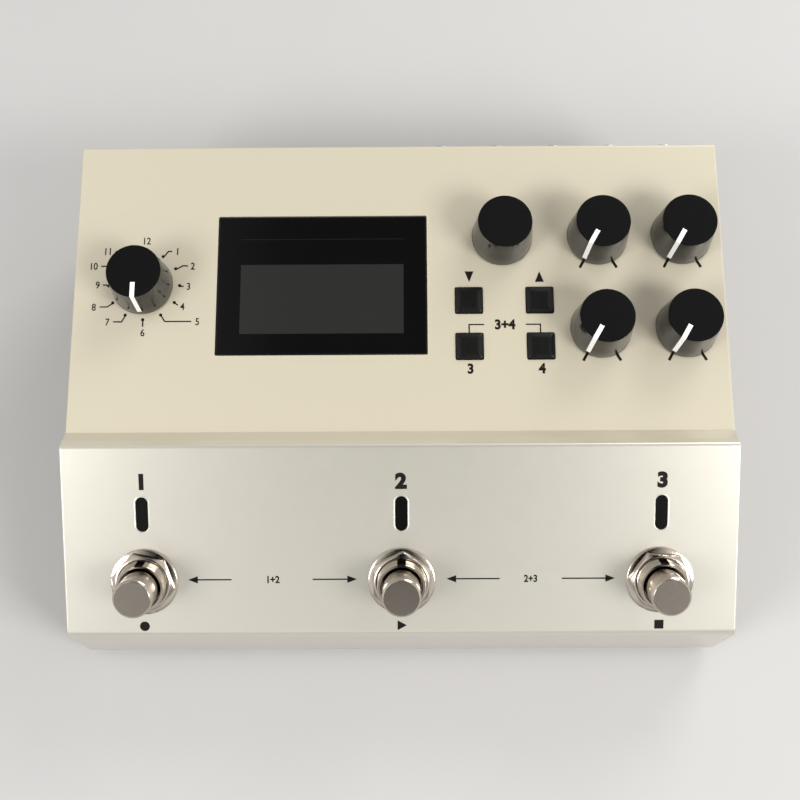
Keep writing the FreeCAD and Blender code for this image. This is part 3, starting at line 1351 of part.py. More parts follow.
def make_small_sockets():
    """The square USB socket, the power inlet and the power switch with its button."""
    case = block("usb_case", REAR, usb_x, -usb_z, -s.usb_length, s.usb_width, s.usb_height, s.usb_length)
    hole = block("usb_hole", REAR, usb_x, -usb_z, -s.usb_hole_depth, s.usb_hole_width, s.usb_hole_height,
                 s.usb_hole_depth)
    tongue = block("usb_tongue", REAR, usb_x, -usb_z, -s.usb_hole_depth, s.usb_tongue_width,
                   s.usb_tongue_height, s.usb_hole_depth - s.socket_play)
    keep(cut("usb_cut", case, cut("usb_space", hole, tongue)), "usb_socket")

    case = block("dc_case", REAR, dc_x, -dc_z, -s.case_wall - s.dc_length, s.dc_width, s.dc_height,
                 s.dc_length)
    face = cylinder("dc_face", REAR, dc_x, -dc_z, -s.case_wall, s.dc_face_radius, s.case_wall)
    hole = cylinder("dc_hole", REAR, dc_x, -dc_z, -s.dc_hole_depth, s.dc_hole_radius, s.dc_hole_depth)
    pin = cylinder("dc_pin", REAR, dc_x, -dc_z, -s.dc_hole_depth, s.dc_pin_radius,
                   s.dc_hole_depth - s.case_wall)
    keep(cut("dc_cut", fuse("dc_solid", case, face), cut("dc_space", hole, pin)), "power_inlet")

    case = block("power_case", REAR, power_x, -power_z, -s.case_wall - s.power_body_length,
                 s.power_body_size, s.power_body_size, s.power_body_length)
    opening = s.power_button_size + 2 * s.power_button_play
    reach = s.power_button_inside + s.power_travel + s.power_button_play
    well = block("power_well", REAR, power_x, -power_z, -s.case_wall - reach, opening, opening, reach)
    keep(cut("power_cut", case, well), "power_switch")

    body = new_body("power_button")
    cap = new_sketch(body, "power_button_cap", lift=-s.case_wall - s.power_button_inside)
    rounded_rectangle(cap, 0, 0, s.power_button_size, s.power_button_size, s.button_corner)
    solid = pad(body, cap, s.case_wall + s.power_button_inside + s.power_button_rise)
    top = edges_where(solid, lambda p: near(p.z, s.power_button_rise))
    fillet(body, "power_button_edge", solid, top, s.button_corner)
    put(body, REAR, power_x, -power_z, 0)


make_case()
make_bottom_plate()
make_plate_screws()
make_feet()
make_battery_bay()
make_battery_cover()
make_boards()
make_board_fixings()
make_display()
make_controls()
for knob_name, knob_x, knob_down in POTS:
    make_knob(knob_name, knob_x, knob_down, s.pointer_minimum)
make_knob("value", value_knob_x, s.knob_row_rear, None)
make_knob("mode", mode_knob_x, s.mode_knob_down, as_size(0))
make_buttons()
make_lenses()
make_footswitches()
make_jacks()
make_midi_socket("midi_in_socket", midi_in_x)
make_midi_socket("midi_out_socket", midi_out_x)
make_small_sockets()

doc.recompute()
for item in doc.Objects:
    if "Invalid" in item.State or "Error" in item.State:
        raise RuntimeError(f"{item.Label} is in state {item.State}")
for node in nodes:
    if node.Shape.isNull() or not node.Shape.isValid() or not node.Shape.Solids:
        raise RuntimeError(f"{node.Label} has no valid solid")

os.makedirs("parts", exist_ok=True)
for node in nodes:
    node.Shape.exportStep(os.path.join("parts", f"{node.Label}.step"))
    print(f"{node.Label}: {len(node.Shape.Solids)} solids, {node.Shape.Volume:.1f} mm3")
print(f"{len(nodes)} sub-parts")
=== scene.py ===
"""Dresses a floor-standing digital delay pedal: formed pieces, finishes, printed marks and a photo table."""

import json
import math

import bmesh
import bpy
import numpy as np
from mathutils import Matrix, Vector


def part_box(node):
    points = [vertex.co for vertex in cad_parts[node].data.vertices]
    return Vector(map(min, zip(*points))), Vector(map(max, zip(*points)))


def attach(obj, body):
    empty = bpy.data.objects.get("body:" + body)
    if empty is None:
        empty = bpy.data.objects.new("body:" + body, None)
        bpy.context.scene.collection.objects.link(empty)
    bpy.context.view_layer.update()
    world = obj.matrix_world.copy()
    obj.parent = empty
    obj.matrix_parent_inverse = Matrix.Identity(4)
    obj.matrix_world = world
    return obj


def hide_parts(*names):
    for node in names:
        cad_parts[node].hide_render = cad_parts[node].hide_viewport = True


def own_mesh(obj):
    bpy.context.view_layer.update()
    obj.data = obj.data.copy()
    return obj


bl_info = {
    "name": "Delay Pedal",
    "version": (1, 0, 0),
    "blender": (4, 5, 0),
    "location": "View3D > Sidebar > Delay Pedal",
    "description": "Builds the visible pieces and finishes of a delay pedal on its packed frame",
    "category": "Object",
}

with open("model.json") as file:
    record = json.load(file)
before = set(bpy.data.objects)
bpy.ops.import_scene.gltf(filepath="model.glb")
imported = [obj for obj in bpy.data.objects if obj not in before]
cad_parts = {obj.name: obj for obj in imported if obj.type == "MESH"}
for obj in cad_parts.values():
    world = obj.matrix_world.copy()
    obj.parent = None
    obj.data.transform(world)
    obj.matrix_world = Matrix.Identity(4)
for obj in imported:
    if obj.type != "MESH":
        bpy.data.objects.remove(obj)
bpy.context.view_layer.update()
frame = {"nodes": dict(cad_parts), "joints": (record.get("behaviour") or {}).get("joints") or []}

MM = 0.001
# A joint's axis points into its panel, so its reverse points out of it.
AXES = {joint["name"]: -np.array(joint["axis"], float) for joint in frame["joints"]}
PLACES = {joint["name"]: np.array(joint.get("pos_m", (0, 0, 0)), float) for joint in frame["joints"]}
POTS = ("feedback", "effect_level", "tone", "mod_depth")
# The footswitches, and how far the nut of each is turned, in degrees.
STOMPS = {"left": 18, "middle": -3, "right": 25}


def linear(code):
    """An sRGB hex colour as linear red, green, blue and a full alpha."""
    parts = [int(code[at:at + 2], 16) / 255 for at in (1, 3, 5)]
    return (*[part / 12.92 if part <= 0.04045 else ((part + 0.055) / 1.055) ** 2.4 for part in parts], 1.0)


# Sizes and colours

def length(name, description, default):
    """A size property in metres, written in millimetres."""
    return bpy.props.FloatProperty(name=name, description=description, default=default * MM, min=0.0,
                                   unit="LENGTH", subtype="DISTANCE", precision=5)


def tint(name, description, default):
    """A colour property, written as an sRGB hex code."""
    return bpy.props.FloatVectorProperty(name=name, description=description, default=linear(default), size=4,
                                         min=0.0, max=1.0, subtype="COLOR")


class PedalSizes(bpy.types.PropertyGroup):
    """Sizes of the formed pieces."""
    knob_row: length("Knob row", "The knobs' axes below the upper panel's rear edge", 26.2)
    knob_height: length("Knob height", "Top of a knob above its panel", 11.7)
    knob_lift: length("Knob lift", "Gap between a knob's rim and its panel", 0.6)
    knob_top: length("Knob top radius", "Radius of the flat top, edge rounding included", 6.85)
    knob_base: length("Knob base radius", "Radius of the rim", 7.95)
    knob_edge: length("Knob edge", "Rounding between top and side", 0.3)
    knob_hollow: length("Knob hollow radius", "Radius of the recess underneath", 6.7)
    knob_hollow_top: length("Knob hollow top", "Top of the recess above the panel", 4.2)
    knob_bore: length("Knob bore radius", "Hole for the shaft", 3.05)
    knob_bore_top: length("Knob bore top", "Top of the shaft hole above the panel", 10.3)
    pointer_width: length("Pointer width", "Width of the painted line on a knob", 1.15)
    pointer_start: length("Pointer start", "Where the line starts, from the knob's axis", 3.0)
    pointer_foot: length("Pointer foot", "Height of the line's lower end above the panel", 2.4)
    button_size: length("Button size", "Side of a square cap", 6.9)
    button_rise: length("Button rise", "Cap's top above the panel", 0.8)
    button_bevel: length("Button bevel", "Width of the bevel round the cap's top", 0.6)
    button_flange: length("Button flange", "Side of the flange under the panel", 9.2)
    button_flange_height: length("Flange height", "Thickness of the flange", 0.8)
    button_stem: length("Button stem", "Side of the stem that meets the switch", 3.0)
    button_stem_bottom: length("Stem bottom", "Stem's end below the panel's face", 5.4)
    case_wall: length("Case wall", "Thickness of the case", 2.0)
    lip_width: length("Lip width", "Lacquer that stands up round a cut-out", 0.24)
    window_width: length("Window width", "Cut-out for the display window", 54.6)
    window_height: length("Window height", "Cut-out for the display window", 37.9)
    window_corner: length("Window corner", "Corner radius of the cut-out", 0.4)
    pane_play: length("Pane play", "Gap between the pane and its cut-out", 0.15)
    pane_thickness: length("Pane thickness", "Display window", 1.0)
    pane_sink: length("Pane sink", "Pane's face below the panel", 0.2)
    pane_bevel: length("Pane bevel", "Polished bevel round the pane", 0.3)
    display_down: length("Display place", "Middle of the display below the rear edge", 42.65)
    display_width: length("Display width", "Lighter area behind the window", 42.3)
    display_height: length("Display height", "Lighter area behind the window", 18.7)
    hairline_down: length("Hairline place", "Thin line over the display, below the rear edge", 26.3)
    hairline_width: length("Hairline width", "Thin line over the display", 0.24)
    light_down: length("Light place", "Middle of a light pipe below the crest", 17.35)
    light_width: length("Light width", "Cut-out for a light pipe", 3.3)
    light_height: length("Light height", "Cut-out for a light pipe", 9.1)
    stomp_down: length("Footswitch place", "Middle of a footswitch below the crest", 34.6)
    washer_radius: length("Washer radius", "Footswitch washer", 8.4)
    washer_height: length("Washer height", "Footswitch washer", 0.8)
    nut_flats: length("Nut flats", "Footswitch nut across flats", 14.0)
    nut_height: length("Nut height", "Footswitch nut", 1.9)
    bush_radius: length("Bush radius", "Threaded bush of a footswitch", 6.1)
    bush_top: length("Bush top", "Top of the bush above the panel", 6.2)
    bush_bore: length("Bush bore", "Radius of the hole for the plunger", 5.15)
    bush_mouth: length("Bush mouth", "Radius where the hole widens at its top", 5.3)
    thread_pitch: length("Thread pitch", "Pitch of the bush's thread", 0.75)
    thread_depth: length("Thread depth", "Depth of the bush's thread", 0.22)
    key_width: length("Key slot width", "Slot along the bush's thread", 1.9)
    key_depth: length("Key slot depth", "Slot along the bush's thread", 0.6)
    can_width: length("Switch can width", "Square body of a footswitch", 16.8)
    can_height: length("Switch can height", "Square body of a footswitch", 15.5)
    can_wall: length("Switch can wall", "Wall of the square body", 1.5)
    plunger_radius: length("Plunger radius", "Footswitch plunger", 4.8)
    plunger_top: length("Plunger top", "Plunger's top above the panel", 14.4)
    plunger_edge: length("Plunger edge", "Bevel round the plunger's top", 0.4)
    collar_radius: length("Collar radius", "Collar that keeps the plunger in", 5.8)
    collar_height: length("Collar height", "Collar that keeps the plunger in", 1.8)
    stem_radius: length("Plunger stem radius", "Stem inside the return spring", 2.5)
    spring_radius: length("Spring radius", "From the spring's axis to the middle of its wire", 4.2)
    spring_wire: length("Spring wire radius", "Half the thickness of the wire", 0.35)
    spring_turns: bpy.props.IntProperty(name="Spring turns", description="Turns of a spring", default=5, min=1)
    plunger_travel: length("Plunger travel", "How far a footswitch is pressed", 3.0)
    ink_height: length("Ink height", "Raise of the printed marks", 0.04)
    line_width: length("Line width", "Printed leader lines", 0.33)
    dot_radius: length("Dot radius", "Printed dots of the mode dial", 0.42)
    dial_radius: length("Dial radius", "Ring of dots round the mode knob", 9.2)
    figure_height: length("Figure height", "Numbers round the mode knob", 1.9)
    middle_figure: length("Middle figure height", "Numbers of the square buttons", 2.75)
    large_figure: length("Large figure height", "Numbers over the lights", 4.15)


class PedalColours(bpy.types.PropertyGroup):
    """Colours of the finishes."""
    cream: tint("Cream", "Upper panel", "#BFB7A2")
    silver: tint("Silver white", "Lower panel and walls", "#C8C4B8")
    ink: tint("Ink", "Printed marks", "#15100C")
    knob: tint("Knob black", "Knobs", "#171717")
    pointer: tint("Pointer white", "Lines on the knobs", "#EFEEE9")
    cap: tint("Cap black", "Square buttons", "#0E0E0D")
    nickel: tint("Nickel", "Footswitch metal", "#B9AFA3")
    window: tint("Window black", "Display window", "#0C0C0C")
    display: tint("Display grey", "Dark display behind the window", "#272826")
    lens: tint("Light pipe", "Smoked light pipes", "#0A0A09")
    plate: tint("Bottom plate", "Steel plate", "#8E8F8E")
    rubber: tint("Rubber", "Feet", "#1C1C1C")
    board: tint("Board green", "Circuit boards", "#1E5A3A")
    socket: tint("Socket black", "Bodies of the sockets", "#17171A")
    floor: tint("Floor", "Pale table top", "#B4B2B0")


def sizes():
    """The scene's own sizes."""
    return bpy.context.scene.pedal_sizes


def colours():
    """The scene's own colours."""
    return bpy.context.scene.pedal_colours


# Planes and surfaces

def middle_of(name):
    """The middle of a CAD node's box at rest."""
    return np.mean(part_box(name), axis=0)


class Plane:
    """A sloping panel: a point on it, x across, y up the slope and z out of it."""

    def __init__(self, origin, normal):
        self.origin = np.array(origin, float)
        self.normal = normal / np.linalg.norm(normal)
        across = np.array((1.0, 0.0, 0.0))
        self.slope = np.cross(self.normal, across)
        self.axes = np.array((across, self.slope, self.normal))

    def place(self, points, x=0.0, y=0.0):
        """Points given on the panel about (x, y), as points of the object."""
        return self.origin + (points + (x, y, 0.0)) @ self.axes

    def spot(self, x, y, height=0.0):
        """One point given on the panel, as a point of the object."""
        return self.place(np.array((x, y, height)))

    def local(self, points):
        """Points of the object, as x, y and height on the panel."""
        return (np.asarray(points) - self.origin) @ self.axes.T


def upper_plane():
    """The cream panel, with y = 0 along its rear edge."""
    plane = Plane(PLACES["feedback_turn"] * (0, 1, 1), AXES["feedback_turn"])
    plane.origin += plane.slope * sizes().knob_row
    return plane


def lower_plane():
    """The silver panel, with y = 0 along its crest."""
    plane = Plane(middle_of("footswitch_washers") * (0, 1, 1), AXES["middle_stomp_press"])
    plane.origin += plane.slope * sizes().stomp_down - plane.normal * sizes().washer_height / 2
    return plane


def around(count=96):
    """Evenly spread angles, the first half a step from zero."""
    return (np.arange(count) + 0.5) / count * 2 * np.pi


def circle(radius, count=96):
    """A ring of points: radius times cosine and sine of evenly spread angles."""
    turn = around(count)
    return radius * np.stack((np.cos(turn), np.sin(turn)), 1)


def square(half, corner, count):
    """A rounded square, or rectangle when half is a pair: a circle of the corner's radius, pushed out
    quarter by quarter to the corners."""
    ring = circle(corner, count)
    return ring + np.sign(ring) * (np.array(half) - corner)


def hexagon(flats, turn, limit=math.inf):
    """A hexagon, half its flats over the cosine of the angle off a flat, cut back to a limiting radius."""
    off = (around() - turn + np.pi / 6) % (np.pi / 3) - np.pi / 6
    return np.minimum(flats / 2 / np.cos(off), limit)[:, None] * circle(1.0)


def stack(flat_rings, heights):
    """Flat rings lifted to their heights: rows by points by xyz."""
    flat = np.array(flat_rings)
    lift = np.broadcast_to(np.array(heights, float)[:, None, None], (*flat.shape[:2], 1))
    return np.concatenate((flat, lift), 2)


def turned(profile):
    """A profile of (radius, height) points turned about the axis."""
    profile = np.array(profile, float)
    return stack(profile[:, :1, None] * circle(1.0), profile[:, 1])


def rounded(start, corner, end, radius, steps=5):
    """A corner of a profile rounded by a quadratic curve that starts and ends a radius away from it."""
    start, corner, end = (np.array(point, float) for point in (start, corner, end))
    first = corner + (start - corner) / np.linalg.norm(start - corner) * radius
    last = corner + (end - corner) / np.linalg.norm(end - corner) * radius
    share = np.linspace(0, 1, steps)[:, None]
    return [tuple(point) for point in (1 - share) ** 2 * first + 2 * share * (1 - share) * corner
            + share ** 2 * last]


def skin(rings, closed=False):
    """Quads between neighbouring rings; closed joins the last ring to the first, else flat caps end it."""
    rows, count = rings.shape[:2]
    row = np.arange(rows if closed else rows - 1)[:, None]
    point = np.arange(count)[None, :]
    after = (point + 1) % count
    above = (row + 1) % rows
    quads = np.stack((row * count + point, row * count + after, above * count + after,
                      above * count + point), -1).reshape(-1, 4).tolist()
    caps = [] if closed else [list(range(count))[::-1], list(range((rows - 1) * count, rows * count))]
    return rings.reshape(-1, 3), quads + caps


class Piece:
    """A mesh gathered from skins and finished as one object that rides on a body."""

    def __init__(self, name):
        self.name = name
        self.points = []
        self.faces = []
        self.slots = []

    def add(self, points, faces, slot=0):
        """Adds a skin; slot is one material's number, or a function of face centres."""
        start = sum(len(part) for part in self.points)
        self.points.append(np.asarray(points, float))
        self.faces.extend([[corner + start for corner in face] for face in faces])
        if callable(slot):
            self.slots.extend(int(value) for value in slot([points[face].mean(0) for face in faces]))
        else:
            self.slots.extend([slot] * len(faces))
        return self

    def lay(self, plane, rings, x=0.0, y=0.0, slot=0, closed=False):
        """Adds the skin of rings that are given on a panel about (x, y)."""
        points, faces = skin(rings, closed)
        return self.add(plane.place(points, x, y), faces, slot)

    def finish(self, body, materials, record_slot, nodes=(), crease=32.0):
        """Makes the object: doubles merged, faces turned outwards, smooth but for edges past the crease."""
        mesh = bpy.data.meshes.new(self.name)
        mesh.from_pydata(np.concatenate(self.points).tolist(), [], self.faces)
        mesh.polygons.foreach_set("material_index", np.array(self.slots, np.int32))
        shape = bmesh.new()
        shape.from_mesh(mesh)
        bmesh.ops.remove_doubles(shape, verts=shape.verts, dist=1e-7)
        bmesh.ops.recalc_face_normals(shape, faces=shape.faces)
        shape.to_mesh(mesh)
        shape.free()
        mesh.shade_smooth()
        mesh.set_sharp_from_angle(angle=math.radians(crease))
        for material in materials:
            mesh.materials.append(material)
        solid = bpy.data.objects.new(self.name, mesh)
        bpy.context.scene.collection.objects.link(solid)
        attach(solid, body)
        if nodes:
            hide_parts(*nodes)
        return solid


class Marks(Piece):
    """Printed marks on one panel, given in millimetres."""

    def __init__(self, name, plane):
        super().__init__(name)
        self.plane = plane
        self.lift = sizes().ink_height

    def shape(self, outline, x=0.0, y=0.0):
        """A flat outline, raised by the ink's height and sunk as much into the panel."""
        flat = np.array(outline, float) * MM
        self.lay(self.plane, stack([flat, flat], [-self.lift, self.lift]), x * MM, y * MM)

    def band(self, route, x=0.0, y=0.0, width=None):
        """A line of even width along a route: each corner's two sides meet on the corner's bisector."""
        width = width or sizes().line_width / MM
        route = np.array(route, float)
        steps = np.diff(route, axis=0)
        steps /= np.linalg.norm(steps, axis=1)[:, None]
        sides = np.stack((-steps[:, 1], steps[:, 0]), 1)
        mean = np.concatenate((sides[:1], (sides[:-1] + sides[1:]) / 2, sides[-1:]))
        offset = mean / (mean ** 2).sum(1)[:, None] * width / 2
        self.shape(np.concatenate((route - offset, (route + offset)[::-1])), x, y)

    def arrow(self, tail, head, y):
        """A thin line with one long pointed head."""
        way = 1 if head > tail else -1
        self.band([(tail, y), (head - way * 1.8, y)])
        self.shape([(head, y), (head - way * 2.4, y + way * 0.93), (head - way * 2.4, y - way * 0.93)])

    def figure(self, text, height, x, y, weight, wide=0.86, align="CENTER"):
        """A number set in the plain built-in face, as a solid on the panel, centred on its height."""
        curve = bpy.data.curves.new("figure", "FONT")
        curve.body, curve.align_x, curve.extrude, curve.offset = text, align, self.lift, weight
        holder = bpy.data.objects.new("figure", curve)
        mesh = bpy.data.meshes.new_from_object(holder)
        points = np.empty(len(mesh.vertices) * 3)
        mesh.vertices.foreach_get("co", points)
        points = points.reshape(-1, 3)
        low, high = points[:, 1].min(), points[:, 1].max()
        scale = height / (high - low)
        points = points * (scale * wide, scale, 1.0) - (0.0, (low + high) / 2 * scale, 0.0)
        faces = [list(face.vertices) for face in mesh.polygons]
        self.add(self.plane.place(points, x * MM, y * MM), faces)
        bpy.data.objects.remove(holder)
        bpy.data.curves.remove(curve)
        bpy.data.meshes.remove(mesh)


# Materials
# Sockets that share a name go by number. Map Range: 0 is the value, 1 and 2 where it starts and ends, 3 and 4
# what it becomes there. A colour Mix: 0 is the share of the second colour, 6 and 7 the colours, output 2 the
# result. Math: 0 and 1.

def node(tree, kind, sockets=None, **settings):
    """Adds a node, applies its settings, and gives each socket a value, an output or a node's first output."""
    added = tree.nodes.new(f"ShaderNode{kind}")
    for name, value in settings.items():
        setattr(added, name, value)
    for name, value in (sockets or {}).items():
        if isinstance(value, bpy.types.Node):
            value = value.outputs[0]
        if isinstance(value, bpy.types.NodeSocket):
            tree.links.new(value, added.inputs[name])
        else:
            added.inputs[name].default_value = value
    return added


def shade(colour, factor):
    """A lighter or darker version of a linear colour."""
    return (*[min(1.0, part * factor) for part in colour[:3]], 1.0)


def product(tree, ramps):
    """The product of ramps from 0 to 1, each given as its value, where it starts and where it ends."""
    share = 1.0
    for value, start, end in ramps:
        ramp = node(tree, "MapRange", {0: value, 1: start, 2: end})
        share = node(tree, "Math", {0: share, 1: ramp}, operation="MULTIPLY")
    return share


def between(part, low, high, soft=0.02):
    """Ramps up at a low limit and down at a high one, in millimetres, soft millimetres to either side."""
    return [(part, (low - soft) * MM, (low + soft) * MM), (part, (high + soft) * MM, (high - soft) * MM)]


def finish(name, colour, roughness, mottle, rough, bump, metallic=0.0, specular=0.5, coat=(0.0, 0.03),
           mask=None):
    """A surface finish as a node material, made once.

    mottle is (patch size in mm, share of the colour it changes), rough is (patch size, change of roughness),
    bump is (grain size in mm, height in mm) and coat is (weight, roughness). mask, a function of the tree
    and the split coordinates, gives a second colour and where it shows; metallic may then be a pair, for the
    first colour and the second.
    """
    material = bpy.data.materials.get(name)
    if material:
        return material
    material = bpy.data.materials.new(name)
    material.use_nodes = True
    tree = material.node_tree
    tree.nodes.clear()
    where = node(tree, "TexCoord").outputs["Object"]
    patches, wear, grain = [
        node(tree, "TexNoise", {"Vector": where, "Scale": 1 / (patch * MM), "Detail": detail,
                                "Roughness": harsh})
        for patch, detail, harsh in ((mottle[0], 4.0, 0.6), (rough[0], 3.0, 0.5), (bump[0], 2.0, 0.5))]
    tone = node(tree, "Mix", {0: patches, 6: shade(colour, 1 - mottle[1]), 7: shade(colour, 1 + mottle[1])},
                data_type="RGBA").outputs[2]
    if mask:
        second, share = mask(tree, node(tree, "SeparateXYZ", {0: where}).outputs)
        tone = node(tree, "Mix", {0: share, 6: tone, 7: second}, data_type="RGBA").outputs[2]
        if isinstance(metallic, tuple):
            metallic = node(tree, "MapRange", {0: share, 3: metallic[0], 4: metallic[1]})
    dull = node(tree, "MapRange", {0: wear, 1: 0.3, 2: 0.7, 3: roughness - rough[1], 4: roughness + rough[1]})
    relief = node(tree, "Bump", {"Height": grain, "Strength": 1.0, "Distance": bump[1] * MM})
    shader = node(tree, "BsdfPrincipled", {
        "Base Color": tone, "Roughness": dull, "Normal": relief, "Metallic": metallic,
        "Specular IOR Level": specular, "Coat Weight": coat[0], "Coat Roughness": coat[1]})
    node(tree, "OutputMaterial", {"Surface": shader})
    return material


def cover(material, *nodes):
    """Gives CAD nodes a finish."""
    for name in nodes:
        mesh = frame["nodes"][name].data
        mesh.materials.clear()
        mesh.materials.append(material)


def nickel():
    """Bright nickel plate on turned brass: mirror-like, with the faint streaks of polishing."""
    return finish("nickel_plated_brass", colours().nickel, 0.14, metallic=1.0, mottle=(3.0, 0.03),
                  rough=(0.6, 0.05), bump=(0.35, 0.0012))


# Operators

class PEDAL_OT_case(bpy.types.Operator):
    """Paint the die-cast case, the steel bottom plate and what is fixed to them."""
    bl_idname = "pedal.case"
    bl_label = "Case and underside"

    def lips(self, lacquer):
        """Lips of lacquer round the cut-outs: a low half-round section that follows a rounded rectangle."""
        size = sizes()
        upper, lower = upper_plane(), lower_plane()
        window = np.array((size.window_width, size.window_height)) / 2
        light = np.array((size.light_width, size.light_height)) / 2
        places = [(upper, upper.local(middle_of("display_window")), window, size.window_corner)]
        places += [(lower, (middle_of(f"plunger_{name}")[0], -size.light_down), light, light[0])
                   for name in STOMPS]
        section = np.array([(0, -1), (0, 0.4), (0.12, 0.8), (0.35, 1), (0.65, 0.8), (1, 0), (1, -1)])
        section *= (size.lip_width, size.ink_height)
        piece = Piece("cutout_lips")
        for plane, place, half, corner in places:
            rings = stack([square(half + out, corner + out, 128) for out in section[:, 0]], section[:, 1])
            piece.lay(plane, rings, place[0], place[1], closed=True)
        piece.finish("case", [lacquer], "case_paint", crease=60.0)

    def execute(self, context):
        paint = colours()
        border = lower_plane().origin[1] / MM + 0.4

        def cream_area(tree, parts):
            """Cream only where the surface faces up and lies behind the crest; the walls stay silver white."""
            facing = node(tree, "SeparateXYZ", {0: node(tree, "NewGeometry").outputs["Normal"]}).outputs
            behind = (parts["Y"], (border - 0.5) * MM, (border + 0.5) * MM)
            return tuple(paint.cream), product(tree, [(facing["Z"], 0.45, 0.75), behind])

        # Pearl lacquer on die-cast zinc: flakes too fine to show singly give a soft metallic sheen, strong in
        # the silver and weak in the cream, under a clear coat with faint orange peel.
        case = finish("pearl_lacquer_on_die_casting", paint.silver, 0.32, metallic=(0.6, 0.12),
                      mottle=(4.0, 0.014), rough=(3.0, 0.008), bump=(0.9, 0.004), coat=(0.5, 0.24),
                      mask=cream_area)
        cover(case, "case_top")
        self.lips(case)
        # Grey baked enamel on pressed steel: even and slightly rough, with a fine spatter.
        cover(finish("grey_enamel_on_steel", paint.plate, 0.42, mottle=(0.9, 0.05), rough=(0.6, 0.06),
                     bump=(0.45, 0.010)), "bottom_plate", "battery_cover")
        # Zinc plate on steel: grey, slightly blue, with a dull crystalline surface.
        cover(finish("zinc_plated_steel", linear("#A9ACB0"), 0.34, metallic=1.0, mottle=(0.8, 0.10),
                     rough=(0.5, 0.10), bump=(0.3, 0.004)), "bottom_screws", "board_screws", "display_frame")
        # Moulded nitrile rubber: very dark, dull, a little chalky where it was handled.
        cover(finish("moulded_nitrile_rubber", paint.rubber, 0.78, mottle=(1.4, 0.18), rough=(1.0, 0.08),
                     bump=(0.3, 0.02)), "rubber_feet")
        return {"FINISHED"}


class PEDAL_OT_display(bpy.types.Operator):
    """Form the gloss window with the dark display behind it, and finish the glass under it."""
    bl_idname = "pedal.display"
    bl_label = "Display window"

    def execute(self, context):
        size, plane = sizes(), upper_plane()
        pane = plane.local(middle_of("display_window"))
        middle = plane.spot(pane[0], -size.display_down) / MM
        half_x, half_y = size.display_width / 2 / MM, size.display_height / 2 / MM * plane.slope[1]
        line_y, half_line = plane.spot(0.0, -size.hairline_down)[1] / MM, size.hairline_width / 2 / MM

        def display_area(tree, parts):
            """The unlit display, a shade lighter than the printed border, and a faint hairline above it."""
            sides = between(parts["X"], middle[0] - half_x, middle[0] + half_x)
            screen = product(tree, sides + between(parts["Y"], middle[1] - half_y, middle[1] + half_y))
            hairline = product(tree, sides + between(parts["Y"], line_y - half_line, line_y + half_line))
            faint = node(tree, "Math", {0: hairline, 1: 0.35}, operation="MULTIPLY")
            return tuple(colours().display), node(tree, "Math", {0: screen, 1: faint}, operation="MAXIMUM")

        # Cast acrylic printed black from behind: a deep gloss with hardly any relief.
        window = finish("back_printed_acrylic", colours().window, 0.06, mottle=(6.0, 0.05), rough=(5.0, 0.02),
                        bump=(4.0, 0.0006), specular=0.3, mask=display_area)
        half = np.array((size.window_width, size.window_height)) / 2 - size.pane_play
        corner, bevel, face = size.window_corner - size.pane_play, size.pane_bevel, -size.pane_sink
        rows = [(0.0, face - size.pane_thickness), (0.0, face - bevel), (0.15 * bevel, face - 0.6 * bevel),
                (0.9 * bevel, face - 0.06 * bevel), (bevel, face)]
        rings = stack([square(half - inset, max(corner - inset, 0.02 * MM), 64) for inset, _ in rows],
                      [height for _, height in rows])
        Piece("display_window_formed").lay(plane, rings, pane[0], pane[1]).finish(
            "case", [window], "window", ["display_window"], crease=15.0)
        # Polished float glass with a grey polariser: smooth, dark and faintly green.
        cover(finish("display_glass", linear("#3C413C"), 0.08, mottle=(4.0, 0.05), rough=(3.0, 0.03),
                     bump=(3.0, 0.0006)), "display_glass")
        return {"FINISHED"}


